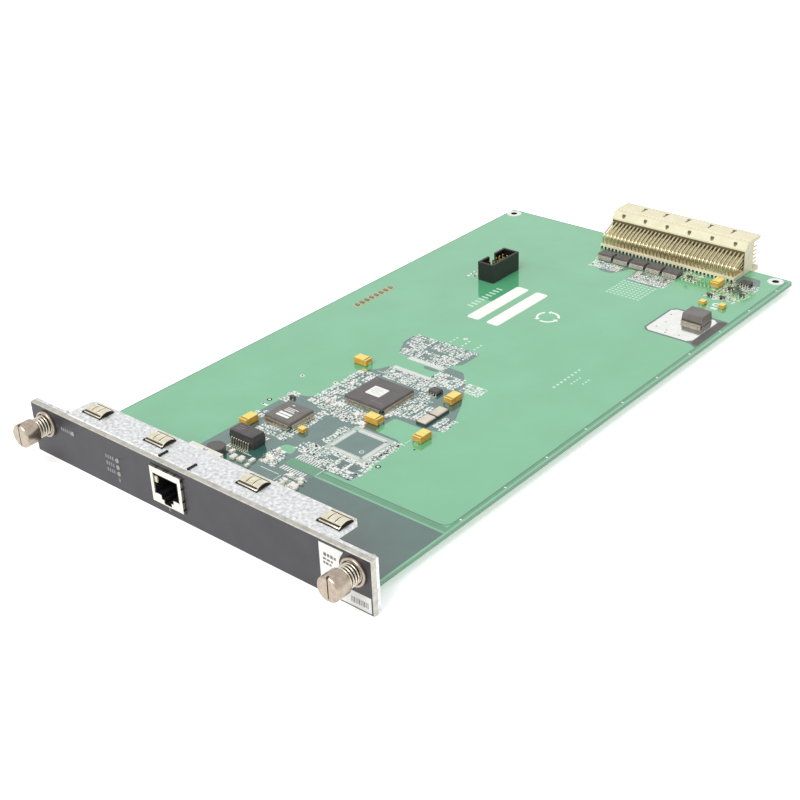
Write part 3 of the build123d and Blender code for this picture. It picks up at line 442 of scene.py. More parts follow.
def chipIn(node, count=1, pitch=0.0, index=0):
    # the middle and half size of one chip in a row of equal ones
    low, high = edgesOf(node)
    halfWidth = (high[0] - low[0] - (count - 1) * pitch) / 2
    return {"x": low[0] + halfWidth + index * pitch, "y": (low[1] + high[1]) / 2,
            "halfWidth": halfWidth, "halfLength": (high[1] - low[1]) / 2,
            "rise": (low[2] + high[2]) / 2 - boardTop + leadSettings["sheet"] / 2}


def leadsRound(chip, perSide, pitch, leadWidth, reach, sides):
    # every lead of a chip: one lead turned and shifted to each place along the sides
    strip, faces = drawnOut(gullWing(reach, chip["rise"]), leadWidth)
    offsets = (np.arange(perSide) - (perSide - 1) / 2) * pitch
    places = np.concatenate([
        np.c_[offsets, np.full(perSide, chip["halfWidth"] if turn % 180 else chip["halfLength"]),
              np.full(perSide, turn)] for turn in sides])
    local = strip[None] + np.c_[places[:, :2], np.zeros(len(places))][:, None]
    angle = np.radians(places[:, 2])[:, None]
    x = local[..., 0] * np.cos(angle) - local[..., 1] * np.sin(angle)
    y = local[..., 0] * np.sin(angle) + local[..., 1] * np.cos(angle)
    points = np.stack([x + chip["x"], y + chip["y"], local[..., 2] + boardTop], -1).reshape(-1, 3)
    return points, [[v + k * len(strip) for v in f] for k in range(len(places)) for f in faces]


transformer = chipIn("transformer_body")
buffers = [chipIn("buffer_chips", bufferRow["count"], bufferRow["pitch"], i)
           for i in range(bufferRow["count"])]
allRound, frontAndRear = (0, 90, 180, 270), (0, 180)
leadShapes = {
    "processor": leadsRound(chipIn("processor_body"), 36, 0.5, 0.22, 1.0, allRound),
    "framer": leadsRound(chipIn("framer_body"), 25, 0.5, 0.22, 1.2, allRound),
    "buffer": joined(*[leadsRound(chip, bufferRow["perSide"], bufferRow["leadPitch"], bufferRow["leadWidth"],
                                  bufferRow["reach"], frontAndRear) for chip in buffers]),
    "transformer": leadsRound(transformer, 8, 1.27, 0.6, 2.0, frontAndRear),
}
for name, shape in leadShapes.items():
    node = "buffer_chip_leads" if name == "buffer" else f"{name}_leads"
    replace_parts(putMesh(f"{name}Leads", shape, "lead"), node)
print("leads made")

# coil springs between the thumbscrew heads and the ferrules
springSettings = {"wire": 0.62, "turns": 8.5, "steps": 36, "sides": 10, "flat": 0.06, "kept": 0.474}


def coil(node):
    # a circle carried along a helix, with closed flat turns at both ends
    s = springSettings
    low, high = edgesOf(node)
    centre = (low + high) / 2
    radius = (high[0] - low[0]) / 2 - s["wire"] / 2
    t = np.linspace(0, 1, int(s["turns"] * s["steps"]))
    eased = np.clip((t - s["flat"]) / (1 - 2 * s["flat"]), 0, 1)
    angle = 2 * np.pi * s["turns"] * t
    length = high[1] - low[1] - s["wire"]
    outward = np.stack([np.cos(angle), np.zeros_like(angle), np.sin(angle)], -1)
    path = radius * outward + np.outer(low[1] + s["wire"] / 2 + eased * length, [0, 1, 0])
    tangent = np.gradient(path, axis=0)
    tangent /= np.linalg.norm(tangent, axis=1)[:, None]
    across = np.cross(tangent, outward)
    n = s["sides"]
    turn = np.linspace(0, 2 * np.pi, n, endpoint=False)[None, :, None]
    circle = np.cos(turn) * outward[:, None] + np.sin(turn) * across[:, None]
    points = path[:, None] + s["wire"] / 2 * circle
    points = points + np.array([centre[0], 0, centre[2]])
    faces = gridFaces(len(t), n, False, True).tolist()
    faces += [list(range(n)), list(range(len(t) * n - 1, (len(t) - 1) * n - 1, -1))]
    seat = inPlace([centre[0], high[1], centre[2]])
    return (points.reshape(-1, 3), [f[::-1] for f in faces]), tuple(seat)


for side in ("left", "right"):
    shape, seat = coil(f"{side}_spring")
    spring = putMesh(f"{side}Coil", shape, "wire", smooth=True)
    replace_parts(spring, f"{side}_spring")
    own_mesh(spring)
print("springs made")


# films on the board: copper under the mask, bare tinned pads and white ink, each a little prouder
filmLevel = {"zone": 0.01, "step": 0.002, "trace": 0.026, "pad": 0.035, "silk": 0.045}


def filmBlocks(places, sizes, kind):
    return blocks(places, sizes, boardTop, boardTop + filmLevel[kind])


def filmBars(rows, kind):
    return bars(rows, boardTop, boardTop + filmLevel[kind])


def filmPlate(outline, kind):
    return plateOf(outline, boardTop, boardTop + filmLevel[kind])


def rectangle(x0, y0, x1, y1):
    return [(x0, y0), (x1, y0), (x1, y1), (x0, y1)]


def roundedRectangle(x0, y0, x1, y1, radius, steps=6):
    quarter = np.linspace(0, np.pi / 2, steps)
    corners = [(x1 - radius, y1 - radius, 0), (x0 + radius, y1 - radius, 1),
               (x0 + radius, y0 + radius, 2), (x1 - radius, y0 + radius, 3)]
    return np.concatenate([np.c_[x + radius * np.cos(quarter + k * np.pi / 2),
                                 y + radius * np.sin(quarter + k * np.pi / 2)] for x, y, k in corners])


def dots(places, half, rise):
    # a small round plate at each place
    dot = roundedRectangle(-half, -half, half, half, half - 0.01)
    return joined(*[plateOf(np.array(place) + dot, boardTop, boardTop + rise) for place in places])


def softened(outline, cut=1.6, steps=5):
    # the same outline with each corner drawn as a short curve
    corner = np.asarray(outline, dtype=float)
    before, after = np.roll(corner, 1, axis=0) - corner, np.roll(corner, -1, axis=0) - corner
    near, far = np.linalg.norm(before, axis=1)[:, None], np.linalg.norm(after, axis=1)[:, None]
    start = corner + before / near * np.minimum(cut, near * 0.45)
    end = corner + after / far * np.minimum(cut, far * 0.45)
    t = np.linspace(0, 1, steps)[None, :, None]
    curve = (1 - t) ** 2 * start[:, None] + 2 * t * (1 - t) * corner[:, None] + t ** 2 * end[:, None]
    return curve.reshape(-1, 2)


# the poured copper shows through the mask as grey green areas with soft corners
zones = {
    "chassisStrip": ("stripZone", rectangle(104.0, 6.0, 165.4, 44.4)),
    "groundMain": ("groundZone", [
        (54, 30), (104, 30), (104, 40), (106, 50), (118, 50), (118.5, 57), (116.5, 62), (116.5, 80),
        (113, 82.5), (101, 82.5), (101, 94.5), (116, 94.5), (122.5, 97), (122.5, 104), (116, 117),
        (107.5, 131), (99.5, 139.7), (91, 140), (91, 127), (71, 127), (69, 122), (64.5, 117), (64.5, 92),
        (63, 88), (55.5, 85), (54, 83)]),
    "groundRear": ("groundZone", [
        (66, 138), (92, 138), (92, 142), (95, 145), (95, 157), (61, 156), (61, 148)]),
    "groundBuffers": ("groundZone", [
        (75, 284), (80, 270), (85, 261), (88, 258.5), (94, 258.5), (96, 262), (99, 268), (102, 268),
        (103, 257), (118, 256), (122.5, 258.5), (122.5, 266), (121, 284)]),
    "groundCorner": ("groundZone", [
        (143.5, 291), (143.5, 280), (147, 270), (151, 272), (157, 276), (157, 284), (154, 291)]),
    "padSurround": ("stripZone", [
        (136.2, 219), (138.6, 216.6), (160, 216.6), (164, 214), (164, 243.6), (138.6, 243.6), (136.2, 241)]),
    "padShadow": ("shadedMask", [(160.1, 217.2), (163.8, 215.8), (163.8, 242.6), (160.1, 242.6)]),
    "openSmall": ("trace", rectangle(89.4, 44.6, 104.6, 49.8)),
    "openMiddle": ("mask", [(79.5, 50.5), (87.5, 50.5), (86.0, 56.0), (80.5, 55.0)]),
    "memoryMark": ("groundZone", [
        (82.5, 134.4), (84, 133.2), (90, 133.6), (90.4, 135.4), (82.8, 135.6)]),
}
for step, (name, (finish, outline)) in enumerate(zones.items()):
    # each area lies a hair above the last, so that none shares a surface
    edge = outline if name == "chassisStrip" else softened(outline)
    level = boardTop + filmLevel["zone"] + step * filmLevel["step"]
    putMesh(name, plateOf(edge, boardTop, level), finish)

edgeTrace = {"low": 45.3, "high": 48.0, "left": 105.0, "inner": 164.2, "outer": 165.3, "rear": 296.0,
             "gap": 0.34, "turn": 3.2}
rimStrip = {"wide": 0.5, "front": boardLow[1] + 30, "rear": boardHigh[1] - 1.6,
            "left": boardLow[0] + 1.6, "right": 72.0}


def planeEdge():
    # the narrow gap between the inner copper plane and the trace that runs round it, with a turned corner
    s = edgeTrace
    turn = np.linspace(-np.pi / 2, 0, 10)
    centre = np.array([s["inner"] - s["gap"] - s["turn"], s["high"] + s["gap"] + s["turn"]])
    arc = np.c_[np.cos(turn), np.sin(turn)]
    sweep = [arc * radius + centre for radius in (s["turn"] + s["gap"], s["turn"])]
    outer = [(s["left"], s["high"]), *sweep[0], (s["inner"], s["rear"])]
    inner = [(s["left"], s["high"] + s["gap"]), *sweep[1], (s["inner"] - s["gap"], s["rear"])]
    return np.concatenate([outer, inner[::-1]])


s = edgeTrace
putMesh("edgeTrace", joined(
    filmPlate(rectangle(s["left"], s["low"], s["inner"], s["high"]), "trace"),
    filmPlate(rectangle(s["inner"], s["low"], s["outer"], s["rear"]), "trace")), "trace")
putMesh("planeEdge", filmPlate(planeEdge(), "pad"), "deepTrace")
putMesh("stripEdge", filmPlate(rectangle(104.0, 45.0, 164.4, 45.3), "trace"), "paleTrace")
s = rimStrip
putMesh("rimStrip", joined(
    filmPlate(rectangle(boardLow[0], s["front"], boardLow[0] + s["wide"], s["rear"]), "zone"),
    filmPlate(rectangle(s["left"], boardHigh[1] - s["wide"], s["right"], boardHigh[1]), "zone")), "rim")


# rows of narrow pads along the sides of a chip or of an empty chip place
def padRows(at, half, count, pitch, pad, sides):
    spots, sizes = [], []
    offsets = (np.arange(count) - (count - 1) / 2) * pitch
    for side in sides:
        upDown = side in "tb"
        reach = (half[1] if upDown else half[0]) + pad[1] / 2
        far = np.full(count, reach if side in "rt" else -reach)
        spots.append(np.c_[offsets, far] if upDown else np.c_[far, offsets])
        sizes.append(np.tile(pad if upDown else pad[::-1], (count, 1)))
    return np.concatenate(spots) + np.array(at), np.concatenate(sizes)


# middle, half size, pads on a side, pitch, pad size and which sides
chipPads = {
    "square": ((103.0, 71.4), (7.0, 6.7), 27, 0.5, (0.3, 1.8), "lrtb"),
    "small": ((96.2, 46.9), (5.5, 2.9), 10, 1.22, (0.62, 2.7), "tb"),
    "memory": ((81.8, 132.2), (9.0, 3.8), 34, 0.54, (0.34, 2.4), "tb"),
    "processor": ((84.8, 104.0), (10.6, 10.6), 36, 0.5, (0.25, 0.9), "lrtb"),
    "framer": ((67.0, 70.8), (7.6, 7.6), 25, 0.5, (0.25, 1.0), "lrtb"),
    "transformer": ((transformer["x"], transformer["y"]), (6.0, transformer["halfLength"] + 0.9), 8, 1.27,
                    (0.8, 2.4), "tb"),
}
bufferLeft = edgesOf("buffer_chips")[0][0] + bufferRow["padMiddle"]
for i, chip in enumerate(buffers):
    at = (bufferLeft + i * bufferRow["pitch"], chip["y"])
    half = (bufferRow["padMiddle"], chip["halfLength"] + 0.5)
    chipPads[f"buffer{i}"] = (at, half, bufferRow["perSide"], bufferRow["leadPitch"], (0.4, 1.6), "tb")
padBands = [(103.0, 80.0, 15.6, 2.3), (103.0, 62.8, 15.6, 2.3), (94.1, 71.4, 2.2, 19.4),
            (111.9, 71.4, 2.2, 19.4), (81.8, 137.3, 19, 3), (81.8, 127.1, 19, 3)]
putMesh("padBands", filmBars(padBands, "trace"), "pasteBand")
spots, sizes = zip(*[padRows(*place) for place in chipPads.values()])
putMesh("chipPlacePads", filmBlocks(np.concatenate(spots), np.concatenate(sizes), "pad"), "pad")

# a block of bare test points
dotField = {"left": 103.6, "right": 119.8, "front": 240.6, "rear": 255.2, "columns": 9, "rows": 8,
            "size": (1.35, 0.8)}
x, y = np.meshgrid(np.linspace(dotField["left"], dotField["right"], dotField["columns"]),
                   np.linspace(dotField["front"], dotField["rear"], dotField["rows"]))
putMesh("testPoints", filmBlocks(np.c_[x.ravel(), y.ravel()], dotField["size"], "pad"), "paleInk")


# fields of empty places for two-ended parts: left, front, right, rear and the turn
padFields = [
    (64.5, 85.5, 71, 117, 0), (71.5, 84.5, 90, 92.5, 90), (73, 119, 91, 125, 90),
    (92.5, 118.5, 96, 125, 0), (92.5, 126, 104, 134, 0), (108.5, 128, 115.5, 132.5, 0),
    (97, 97.5, 101.8, 116.5, 90), (103.5, 98, 107.3, 112, 0), (118, 97.5, 121.5, 107, 0),
    (90, 53.5, 104.5, 61, 90), (114.2, 62.5, 115.8, 80, 0), (105.5, 52, 117, 61, 90),
    (90.5, 66, 92, 77, 90), (63, 57.5, 77.5, 64, 90), (75.2, 67, 77, 81, 0),
    (86.5, 55.5, 89, 60.5, 0), (79.5, 82.3, 90.5, 83.8, 90), (66.5, 139.5, 91, 145, 90),
    (63, 147, 72, 155, 90), (75.5, 150, 93.5, 155.5, 90), (84.5, 143.5, 94, 148, 0),
    (97, 33, 103.5, 39.5, 90), (80, 41.5, 87, 48.5, 90), (104.8, 259, 121, 266.5, 90),
    (123.5, 272, 130, 280, 0), (141.5, 262.5, 157, 269, 90), (144.5, 272, 157, 282.5, 0),
    (81, 262, 94, 267, 0), (54.5, 86, 57, 80, 90), (54, 64.5, 57, 69, 0),
]
partPad = {"size": (0.95, 0.95), "spread": (0.75, 1.3), "apart": 1.6, "long": 2.75, "wide": 1.62,
           "ink": (2.6, 0.2), "inkOff": 0.74, "kept": 0.86, "stray": 0.22, "turned": 0.2, "inked": 0.45,
           "viaSize": 0.55, "viaOff": (1.35, 0.8), "run": (2.2, 0.26), "holeSize": 0.42,
           "holeOff": (1.2, 0.75), "holed": 0.6}
clearPlaces = [(106.0, 54.0, 110.0, 59.6), (110.6, 54.8, 115.0, 59.8)]


def fieldPlaces(field):
    left, front, right, rear, turn = field
    alongX, alongY = (partPad["wide"], partPad["long"]) if turn else (partPad["long"], partPad["wide"])
    x, y = np.meshgrid(np.linspace(left, right, max(1, round((right - left) / alongX)) + 1),
                       np.linspace(front, rear, max(1, round(abs(rear - front) / alongY)) + 1))
    spots = np.c_[x.ravel(), y.ravel(), np.full(x.size, turn)]
    blocked = np.zeros(len(spots), dtype=bool)
    for x0, y0, x1, y1 in clearPlaces:
        blocked |= (spots[:, 0] > x0) & (spots[:, 0] < x1) & (spots[:, 1] > y0) & (spots[:, 1] < y1)
    return spots[~blocked]


# the places are moved, turned and left out a little unevenly, as parts of many kinds lie there
chance = np.random.default_rng(11)
cells = np.concatenate([fieldPlaces(field) for field in padFields])
cells = cells[chance.random(len(cells)) < partPad["kept"]]
cells[:, :2] += chance.uniform(-partPad["stray"], partPad["stray"], (len(cells), 2))
turned = chance.random(len(cells)) < partPad["turned"]
cells[turned, 2] = 90 - cells[turned, 2]
turns = np.radians(cells[:, 2])
ahead = np.c_[np.cos(turns), np.sin(turns)]
aside = np.c_[-np.sin(turns), np.cos(turns)]


def bothSides(direction, distance):
    return np.concatenate([
        np.c_[cells[:, :2] + direction * off, cells[:, 2]] for off in (-distance, distance)])


ends = bothSides(ahead, partPad["apart"] / 2)
flanks = bothSides(aside, partPad["inkOff"])
spread = chance.uniform(*partPad["spread"], (len(cells), 1))
padSizes = np.tile(partPad["size"], (len(ends), 1)) * np.tile(spread, (2, 1))
putMesh("partPads", filmBlocks(ends, padSizes, "pad"), "pad")
inked = flanks[np.tile(chance.random(len(cells)) < partPad["inked"], 2)]
putMesh("partInk", filmBlocks(inked, partPad["ink"], "silk"), "silk")
viaSides = chance.choice([-1.0, 1.0], (len(cells), 2))
viaShift = viaSides * np.array(partPad["viaOff"])
putMesh("smallVias", filmBlocks(cells[:, :2] + viaShift, (partPad["viaSize"],) * 2, "pad"), "pad")
runs = np.c_[cells[:, :2] + viaShift / 2, np.degrees(np.arctan2(viaSides[:, 1], viaSides[:, 0]))]
putMesh("shortTraces", filmBlocks(runs, partPad["run"], "trace"), "paleTrace")
holeSpots = cells[:, :2] - viaSides * np.array(partPad["holeOff"])
holeSpots = holeSpots[chance.random(len(cells)) < partPad["holed"]]
# black squares: painted shade in small open holes
putMesh("smallHoles", filmBlocks(holeSpots, (partPad["holeSize"],) * 2, "silk"), "hole")

# larger bright pads, the dark bodies of two networks between them, and pale parts behind the flange
broadPads = [
    (76, 90.4, 4.2, 2.6), (87.2, 88.4, 3.4, 2.8), (93.2, 84, 3.4, 3), (97.6, 95, 2.6, 1.8),
    (83.2, 50.2, 3.4, 1.5), (83.2, 44.2, 3.2, 2), (108, 60.2, 2.8, 1.5), (108, 53.2, 2.8, 1.6),
    (112.8, 60.8, 3.2, 1.6), (112.8, 54.2, 3.2, 1.6), (74.8, 123.6, 2.2, 2), (78.4, 122.8, 2, 2.2),
    (89, 86.2, 2.2, 1.6), (70.6, 92.6, 1.8, 2), (95, 82, 2.2, 1.6), (52, 72.2, 3.2, 1.1),
    (151.4, 252.4, 3, 1.7), (147.6, 252, 1.4, 1.8), (155.6, 250.8, 1.6, 1.2), (146.4, 261, 1.6, 1)]
darkBodies = [(108.0, 56.7, 3.0, 4.6), (112.8, 57.4, 3.2, 3.6)]
paleParts = {"tall": 1.0, "seat": 0.05, "rows": [
    (68.4, 38.6, 1.6, 2.2), (71.6, 36.2, 2, 2.8), (74.9, 36.8, 2, 3), (79.2, 38.4, 1.6, 2.4),
    (82.8, 44.3, 2.6, 1.8), (99, 36, 1.6, 1.4), (104.2, 34.9, 3, 2.2), (98.3, 39.4, 2.2, 1.8),
    (103.3, 39.6, 2.2, 1.8), (65.4, 37.4, 1.4, 2.4)]}
putMesh("broadPads", filmBars(broadPads, "silk"), "pad")
putMesh("paleParts", bars(paleParts["rows"], boardTop + paleParts["seat"], boardTop + paleParts["tall"]),
        "glaze")
putMesh("darkBodies", filmBars(darkBodies, "trace"), "stripZone")


# white ink: outlines, bars, a ring of three arrows and plain dashes where a label stood
def frameBars(x0, y0, x1, y1, width=0.16):
    middle, wide, long = ((x0 + x1) / 2, (y0 + y1) / 2), x1 - x0, y1 - y0
    return [(middle[0], y0, wide + width, width), (middle[0], y1, wide + width, width),
            (x0, middle[1], width, long), (x1, middle[1], width, long)]


inkFrames = [(105.2, 51.2, 118.0, 62.0), (103.4, 257.8, 122.4, 268.4), (107.4, 126.8, 116.6, 133.6)]
inkStrokes = [
    (105, 48, 0.24, 4.4), (103.6, 50.2, 2.8, 0.24), (110.4, 56.6, 0.3, 8.4), (77.2, 79.6, 0.26, 4.8),
    (91.9, 132.2, 0.24, 8.6), (93.4, 58.6, 0.24, 6), (71.6, 120.4, 4.4, 0.22), (116.6, 84, 0.22, 3.4),
    (88.8, 37.9, 9.4, 0.24), (94.6, 36, 0.24, 4), (74.2, 41, 4, 0.24)]
inkBars = [roundedRectangle(67.5, 182.6, 74.1, 221.4, 1.4), roundedRectangle(78.2, 182.6, 84.7, 221.4, 1.4)]
putMesh("inkFrames", filmBars(np.concatenate([frameBars(*f) for f in inkFrames]), "silk"), "silk")
putMesh("inkStrokes", filmBars(inkStrokes, "silk"), "silk")
putMesh("inkBars", joined(*[filmPlate(outline, "silk") for outline in inkBars]), "silk")

arrowRing = {"at": (97.3, 202.8), "inner": 4.3, "outer": 5.3, "span": 88, "head": 1.5, "headTurn": 14,
             "starts": (20, 140, 260)}


def arrowArc(start):
    # an arc between two radii that ends in a wider head and a point
    s = arrowRing
    angle = np.radians(start + np.linspace(0, s["span"], 20))
    unit = np.c_[np.cos(angle), np.sin(angle)]
    middle = (s["inner"] + s["outer"]) / 2
    tip = angle[-1] + np.radians(s["headTurn"])
    head = unit[-1:] * np.array([[middle + s["head"]], [middle - s["head"]]])
    point = np.array([[np.cos(tip), np.sin(tip)]]) * middle
    outline = [unit * s["outer"], head[:1], point, head[1:], (unit * s["inner"])[::-1]]
    return np.concatenate(outline) + np.array(s["at"])


putMesh("arrowRing", joined(*[filmPlate(arrowArc(start), "silk") for start in arrowRing["starts"]]), "silk")

# columns of dashes: x, first y, last y, how many and their size
dashColumns = [
    (62.4, 192.5, 214, 9, (3.4, 1)), (136.3, 151.5, 169.5, 8, (1.1, 1.2)),
    (140.3, 158, 164, 4, (0.9, 0.8)), (144.2, 160.5, 164.5, 3, (0.9, 0.8)),
    (77.6, 159, 163.5, 3, (1, 1)), (84, 159, 163.5, 3, (1, 1)),
    (90.4, 159, 163.5, 3, (1, 1)), (44, 219, 235, 7, (1.2, 1.3)),
    (41.6, 221, 229, 4, (0.9, 1.1)), (86.5, 144.5, 148.5, 3, (0.9, 0.7)),
]
places = np.concatenate([np.c_[np.full(count, x), np.linspace(low, high, count)]
                         for x, low, high, count, size in dashColumns])
sizes = np.concatenate([np.tile(size, (count, 1)) for x, low, high, count, size in dashColumns])
putMesh("inkDashes", filmBlocks(places, sizes, "silk"), "paleInk")
headerMarks = [
    (41.4, 218, 1.6, 1), (41.2, 220.4, 1.2, 1.4), (43.8, 219.2, 1.4, 1), (41, 223.4, 1.4, 0.9),
    (43.6, 222.2, 1.6, 1.2), (41.2, 226.2, 1.2, 1), (43.9, 225.4, 1.3, 1.3), (41.4, 229.2, 1.5, 0.9),
    (43.8, 228.6, 1.2, 1), (44, 232, 1.4, 1.2), (41.6, 232.6, 1.2, 0.8), (43.8, 235.2, 1.4, 1)]
putMesh("headerMarks", filmBars(headerMarks, "silk"), "silk")

# bare rings, vias and marks: places, inner and outer radius, rise, sides, finish and slot
targets = [(119.3, 63.6), (50.6, 76.2)]
boardHoles = [(12.4, 293.7), (160.0, 293.7)]
boardRings = {
    "viaRings": ([(84.0, 83.6), (47.4, 98.6), (62.6, 102.2), (81.2, 164.6)], 0.45, 1.0,
                 filmLevel["silk"] + 0.01, 20, "pad", "tinned"),
    "targetRings": (targets, 0.62, 1.1, filmLevel["pad"], 20, "hole", "board"),
    "rearRing": ([(150.4, 256.3)], 1.0, 1.7, filmLevel["silk"], 24, "silk", "board"),
    "pinMark": ([(107.5, 67.8)], 0.75, 1.0, filmLevel["silk"], 24, "silk", "board"),
    "holeRings": (boardHoles, 1.62, 3.7, filmLevel["pad"], 40, "pad", "tinned"),
}
for name, (places, inner, outer, rise, sides, finish, slot) in boardRings.items():
    putMesh(name, rings(places, inner, outer, boardTop, boardTop + rise, sides), finish)
viaHoles = [(115.6, 78.6), (115.6, 72.6), (104.6, 51.2), (116.2, 50.4), (50.9, 72.3), (122.3, 80.8),
            (84, 83.6), (62.6, 102.2), (47.4, 98.6)]
padDots = [(140.4, 222.6), (145.8, 221.8), (141.6, 228.4), (146.6, 219.4), (139.6, 236.2), (152.6, 220.6)]
padTop = edgesOf("heat_pad")[1][2]
putMesh("targetCentres", dots(targets, 0.6, filmLevel["pad"]), "pad")
# black dots in the vias and a black wall inside the two mounting holes: painted shade in the open holes
putMesh("viaHoles", dots(viaHoles, 0.4, filmLevel["silk"] + 0.008), "hole")
putMesh("holeShadows", rings(boardHoles, 1.58, 1.66, boardTop - 1.2, boardTop + 0.01, 40), "hole")
putMesh("padDots", blocks(padDots, (0.6, 0.6), boardTop, padTop + 0.01), "shadedMask")
rowPads = {"count": 8, "body": 1.25, "over": 1.5, "long": 2.9}
low, high = edgesOf("resistor_row")
rowY = np.linspace(low[1] + rowPads["body"] / 2, high[1] - rowPads["body"] / 2, rowPads["count"])
rowSize = (high[0] - low[0] + rowPads["over"], rowPads["long"])
putMesh("rowPads", filmBlocks(np.c_[np.full(len(rowY), (low[0] + high[0]) / 2), rowY], rowSize, "pad"),
        "creamShade")
edgeMarks = {"x": 164.9, "first": 54.5, "pitch": 25.6, "count": 10, "size": (0.9, 0.7)}
markY = edgeMarks["first"] + edgeMarks["pitch"] * np.arange(edgeMarks["count"])
markPlaces = np.c_[np.full(edgeMarks["count"], edgeMarks["x"]), markY]
putMesh("edgeMarks", filmBlocks(markPlaces, edgeMarks["size"], "silk"), "pad")
print("board printed")

# plain bars of print on the chips: x and y from the chip's middle, width and length
thin = 0.012
chipPrint = {
    "framerPrint": ("framer_body", "silk", "chip", [
        (0, -3.6, 6.6, 1.3), (0, -1.8, 6.6, 1.3), (0, 0.2, 5.4, 0.5), (-0.5, 1.3, 4.4, 0.4),
        (0.2, 2.3, 5.6, 0.4), (-1.8, 4.6, 1.2, 0.5)]),
    "labelPrint": ("processor_label", "faintInk", "paper", [
        (-0.4, 1.8, 4.6, 0.35), (0, 0.8, 5.2, 0.3), (-0.8, -0.3, 3.8, 0.35), (0.2, -1.4, 5, 0.3)]),
    "processorPrint": ("processor_body", "faintPrint", "chip", [
        (-8.2, 8, 0.9, 0.9), (4.6, -6.8, 7, 0.35)]),
    "transformerPrint": ("transformer_body", "faintPrint", "chip", [
        (-3.4, 1.2, 3.6, 0.4), (-3, 0, 4.4, 0.4), (-3.6, -1.2, 3.2, 0.4)]),
    # the regulator's print lines, drawn paler than its body so that they add painted sheen to its top
    "regulatorPrintAndSheen": ("regulator_body", "ink", "chip", [
        (0, 1.8, 6.6, 0.9), (-0.6, 0, 5.6, 0.7), (0.2, -1.9, 6.4, 0.9)]),
}
for name, (node, finish, slot, rows) in chipPrint.items():
    low, high = edgesOf(node)
    rows = np.array(rows, dtype=float)
    rows[:, :2] += ((low + high) / 2)[:2]
    putMesh(name, bars(rows, high[2], high[2] + thin), finish)

# the polarity bands of the large tantalum capacitors: x, y and turn of each body
bandSettings = {"bodies": [(60.2, 122.0, 0), (96.4, 87.7, 0), (110.7, 118.5, 90), (119.8, 88.4, 90),
                           (57.0, 58.5, 90), (140.7, 274.7, 90)], "off": 2.35, "size": (0.9, 3.7)}
places = np.array(bandSettings["bodies"])
turn = np.radians(places[:, 2])
places[:, :2] += np.c_[np.cos(turn), -np.sin(turn)] * bandSettings["off"]
bandLow = edgesOf("large_tantalums")[1][2]
putMesh("polarityBands", blocks(places, bandSettings["size"], bandLow, bandLow + thin), "band")

# the connector: painted shade in the notches under the organizer, on the face behind the pins and in the
# holes on the slope and the slots on the top, and ribs on the top in painted half shade
low, high = edgesOf("pin_organizer")
housing = edgesOf("connector_housing")
columns = 36
notchX = low[0] + (high[0] - low[0]) * (np.arange(columns) + 0.5) / columns
pick = {"first": 79.09, "pitch": 12.0, "count": 6, "width": 1.8, "slope": [(292.2, 18.21), (292.8, 19.34)],
        "out": (0.1, -0.05), "back": (-0.03, 0.016), "slotY": 302.6, "slotSize": (2.0, 1.1), "slotLow": 19.9}
pickX = pick["first"] + pick["pitch"] * np.arange(pick["count"])
slotX = pickX[:-1] + pick["pitch"] / 2
slope = np.array(pick["slope"])
pickShape = drawnOut(np.concatenate([slope + pick["out"], (slope + pick["back"])[::-1]]), pick["width"])
ribs = {"rows": [(295.7, housing[1][2] - 0.4), (304.4, housing[1][2])], "size": (0.7, 0.5)}
faceRow = ((low[0] + high[0]) / 2, housing[0][1] - 0.01, high[0] - low[0] - 0.8, 0.02)
putMesh("notchShadows", blocks(np.c_[notchX, np.full(columns, low[1] + 0.5)], (1.08, 0.9), boardTop + 0.02,
                              boardTop + 0.93), "hole")
putMesh("housingFaceShade", bars([faceRow], high[2] + 0.1, 16.2), "shade")
putMesh("pickShadows", joined(*[moved(pickShape, x) for x in pickX]), "shade")
putMesh("housingRibs", joined(*[
    blocks(np.c_[notchX, np.full(columns, y)], ribs["size"], top - 0.1, top + 0.008)
    for y, top in ribs["rows"]]), "creamShade")
slotPlaces = np.c_[slotX, np.full(len(slotX), pick["slotY"])]
putMesh("slotShadows", blocks(slotPlaces, pick["slotSize"], pick["slotLow"], housing[1][2] + 0.005),
        "shade")

# painted shade in the gaps round the spring contacts and under their bows, and in the flange's two slots
flange = {"top": edgesOf("front_bracket")[1][2], "low": 20.0, "slots": (70.1, 85.2), "bowRear": 14.3,
          "bowMiddle": 11.15, "bowHalf": 3.35}
gaps, bows = [], []
for finger in fingers:
    low, high = edgesOf(finger)
    middle, half = (low[0] + high[0]) / 2, (high[0] - low[0]) / 2
    gaps.append(blocks([(middle, 7.44)], (2 * half + 0.9, 0.5), flange["low"], flange["top"] - 0.4))
    edges = [(middle + side * (half + 0.25), 10.7) for side in (-1, 1)]
    gaps.append(blocks(edges, (0.4, 7.0), flange["low"], flange["top"] - 0.12))
    reach = np.linspace(low[1] + 0.35, flange["bowRear"], 14)
    rise = 1 - ((reach - flange["bowMiddle"]) / flange["bowHalf"]) ** 2
    under = np.c_[reach, flange["top"] + 0.02 + rise * (high[2] - flange["top"] - 0.3)]
    profile = np.concatenate([[(low[1] + 0.35, 20.2), (flange["bowRear"], 20.2)], under[::-1]])
    bows.append(moved(drawnOut(profile, 2 * half - 0.3), middle))
putMesh("windowShadows", joined(*gaps), "hole")
putMesh("bowShadows", joined(*bows), "bowShade")
putMesh("flangeSlotShadows", blocks([(x, 5.35) for x in flange["slots"]], (0.86, 4.2), 19.9, flange["top"] - 0.12),
        "hole")
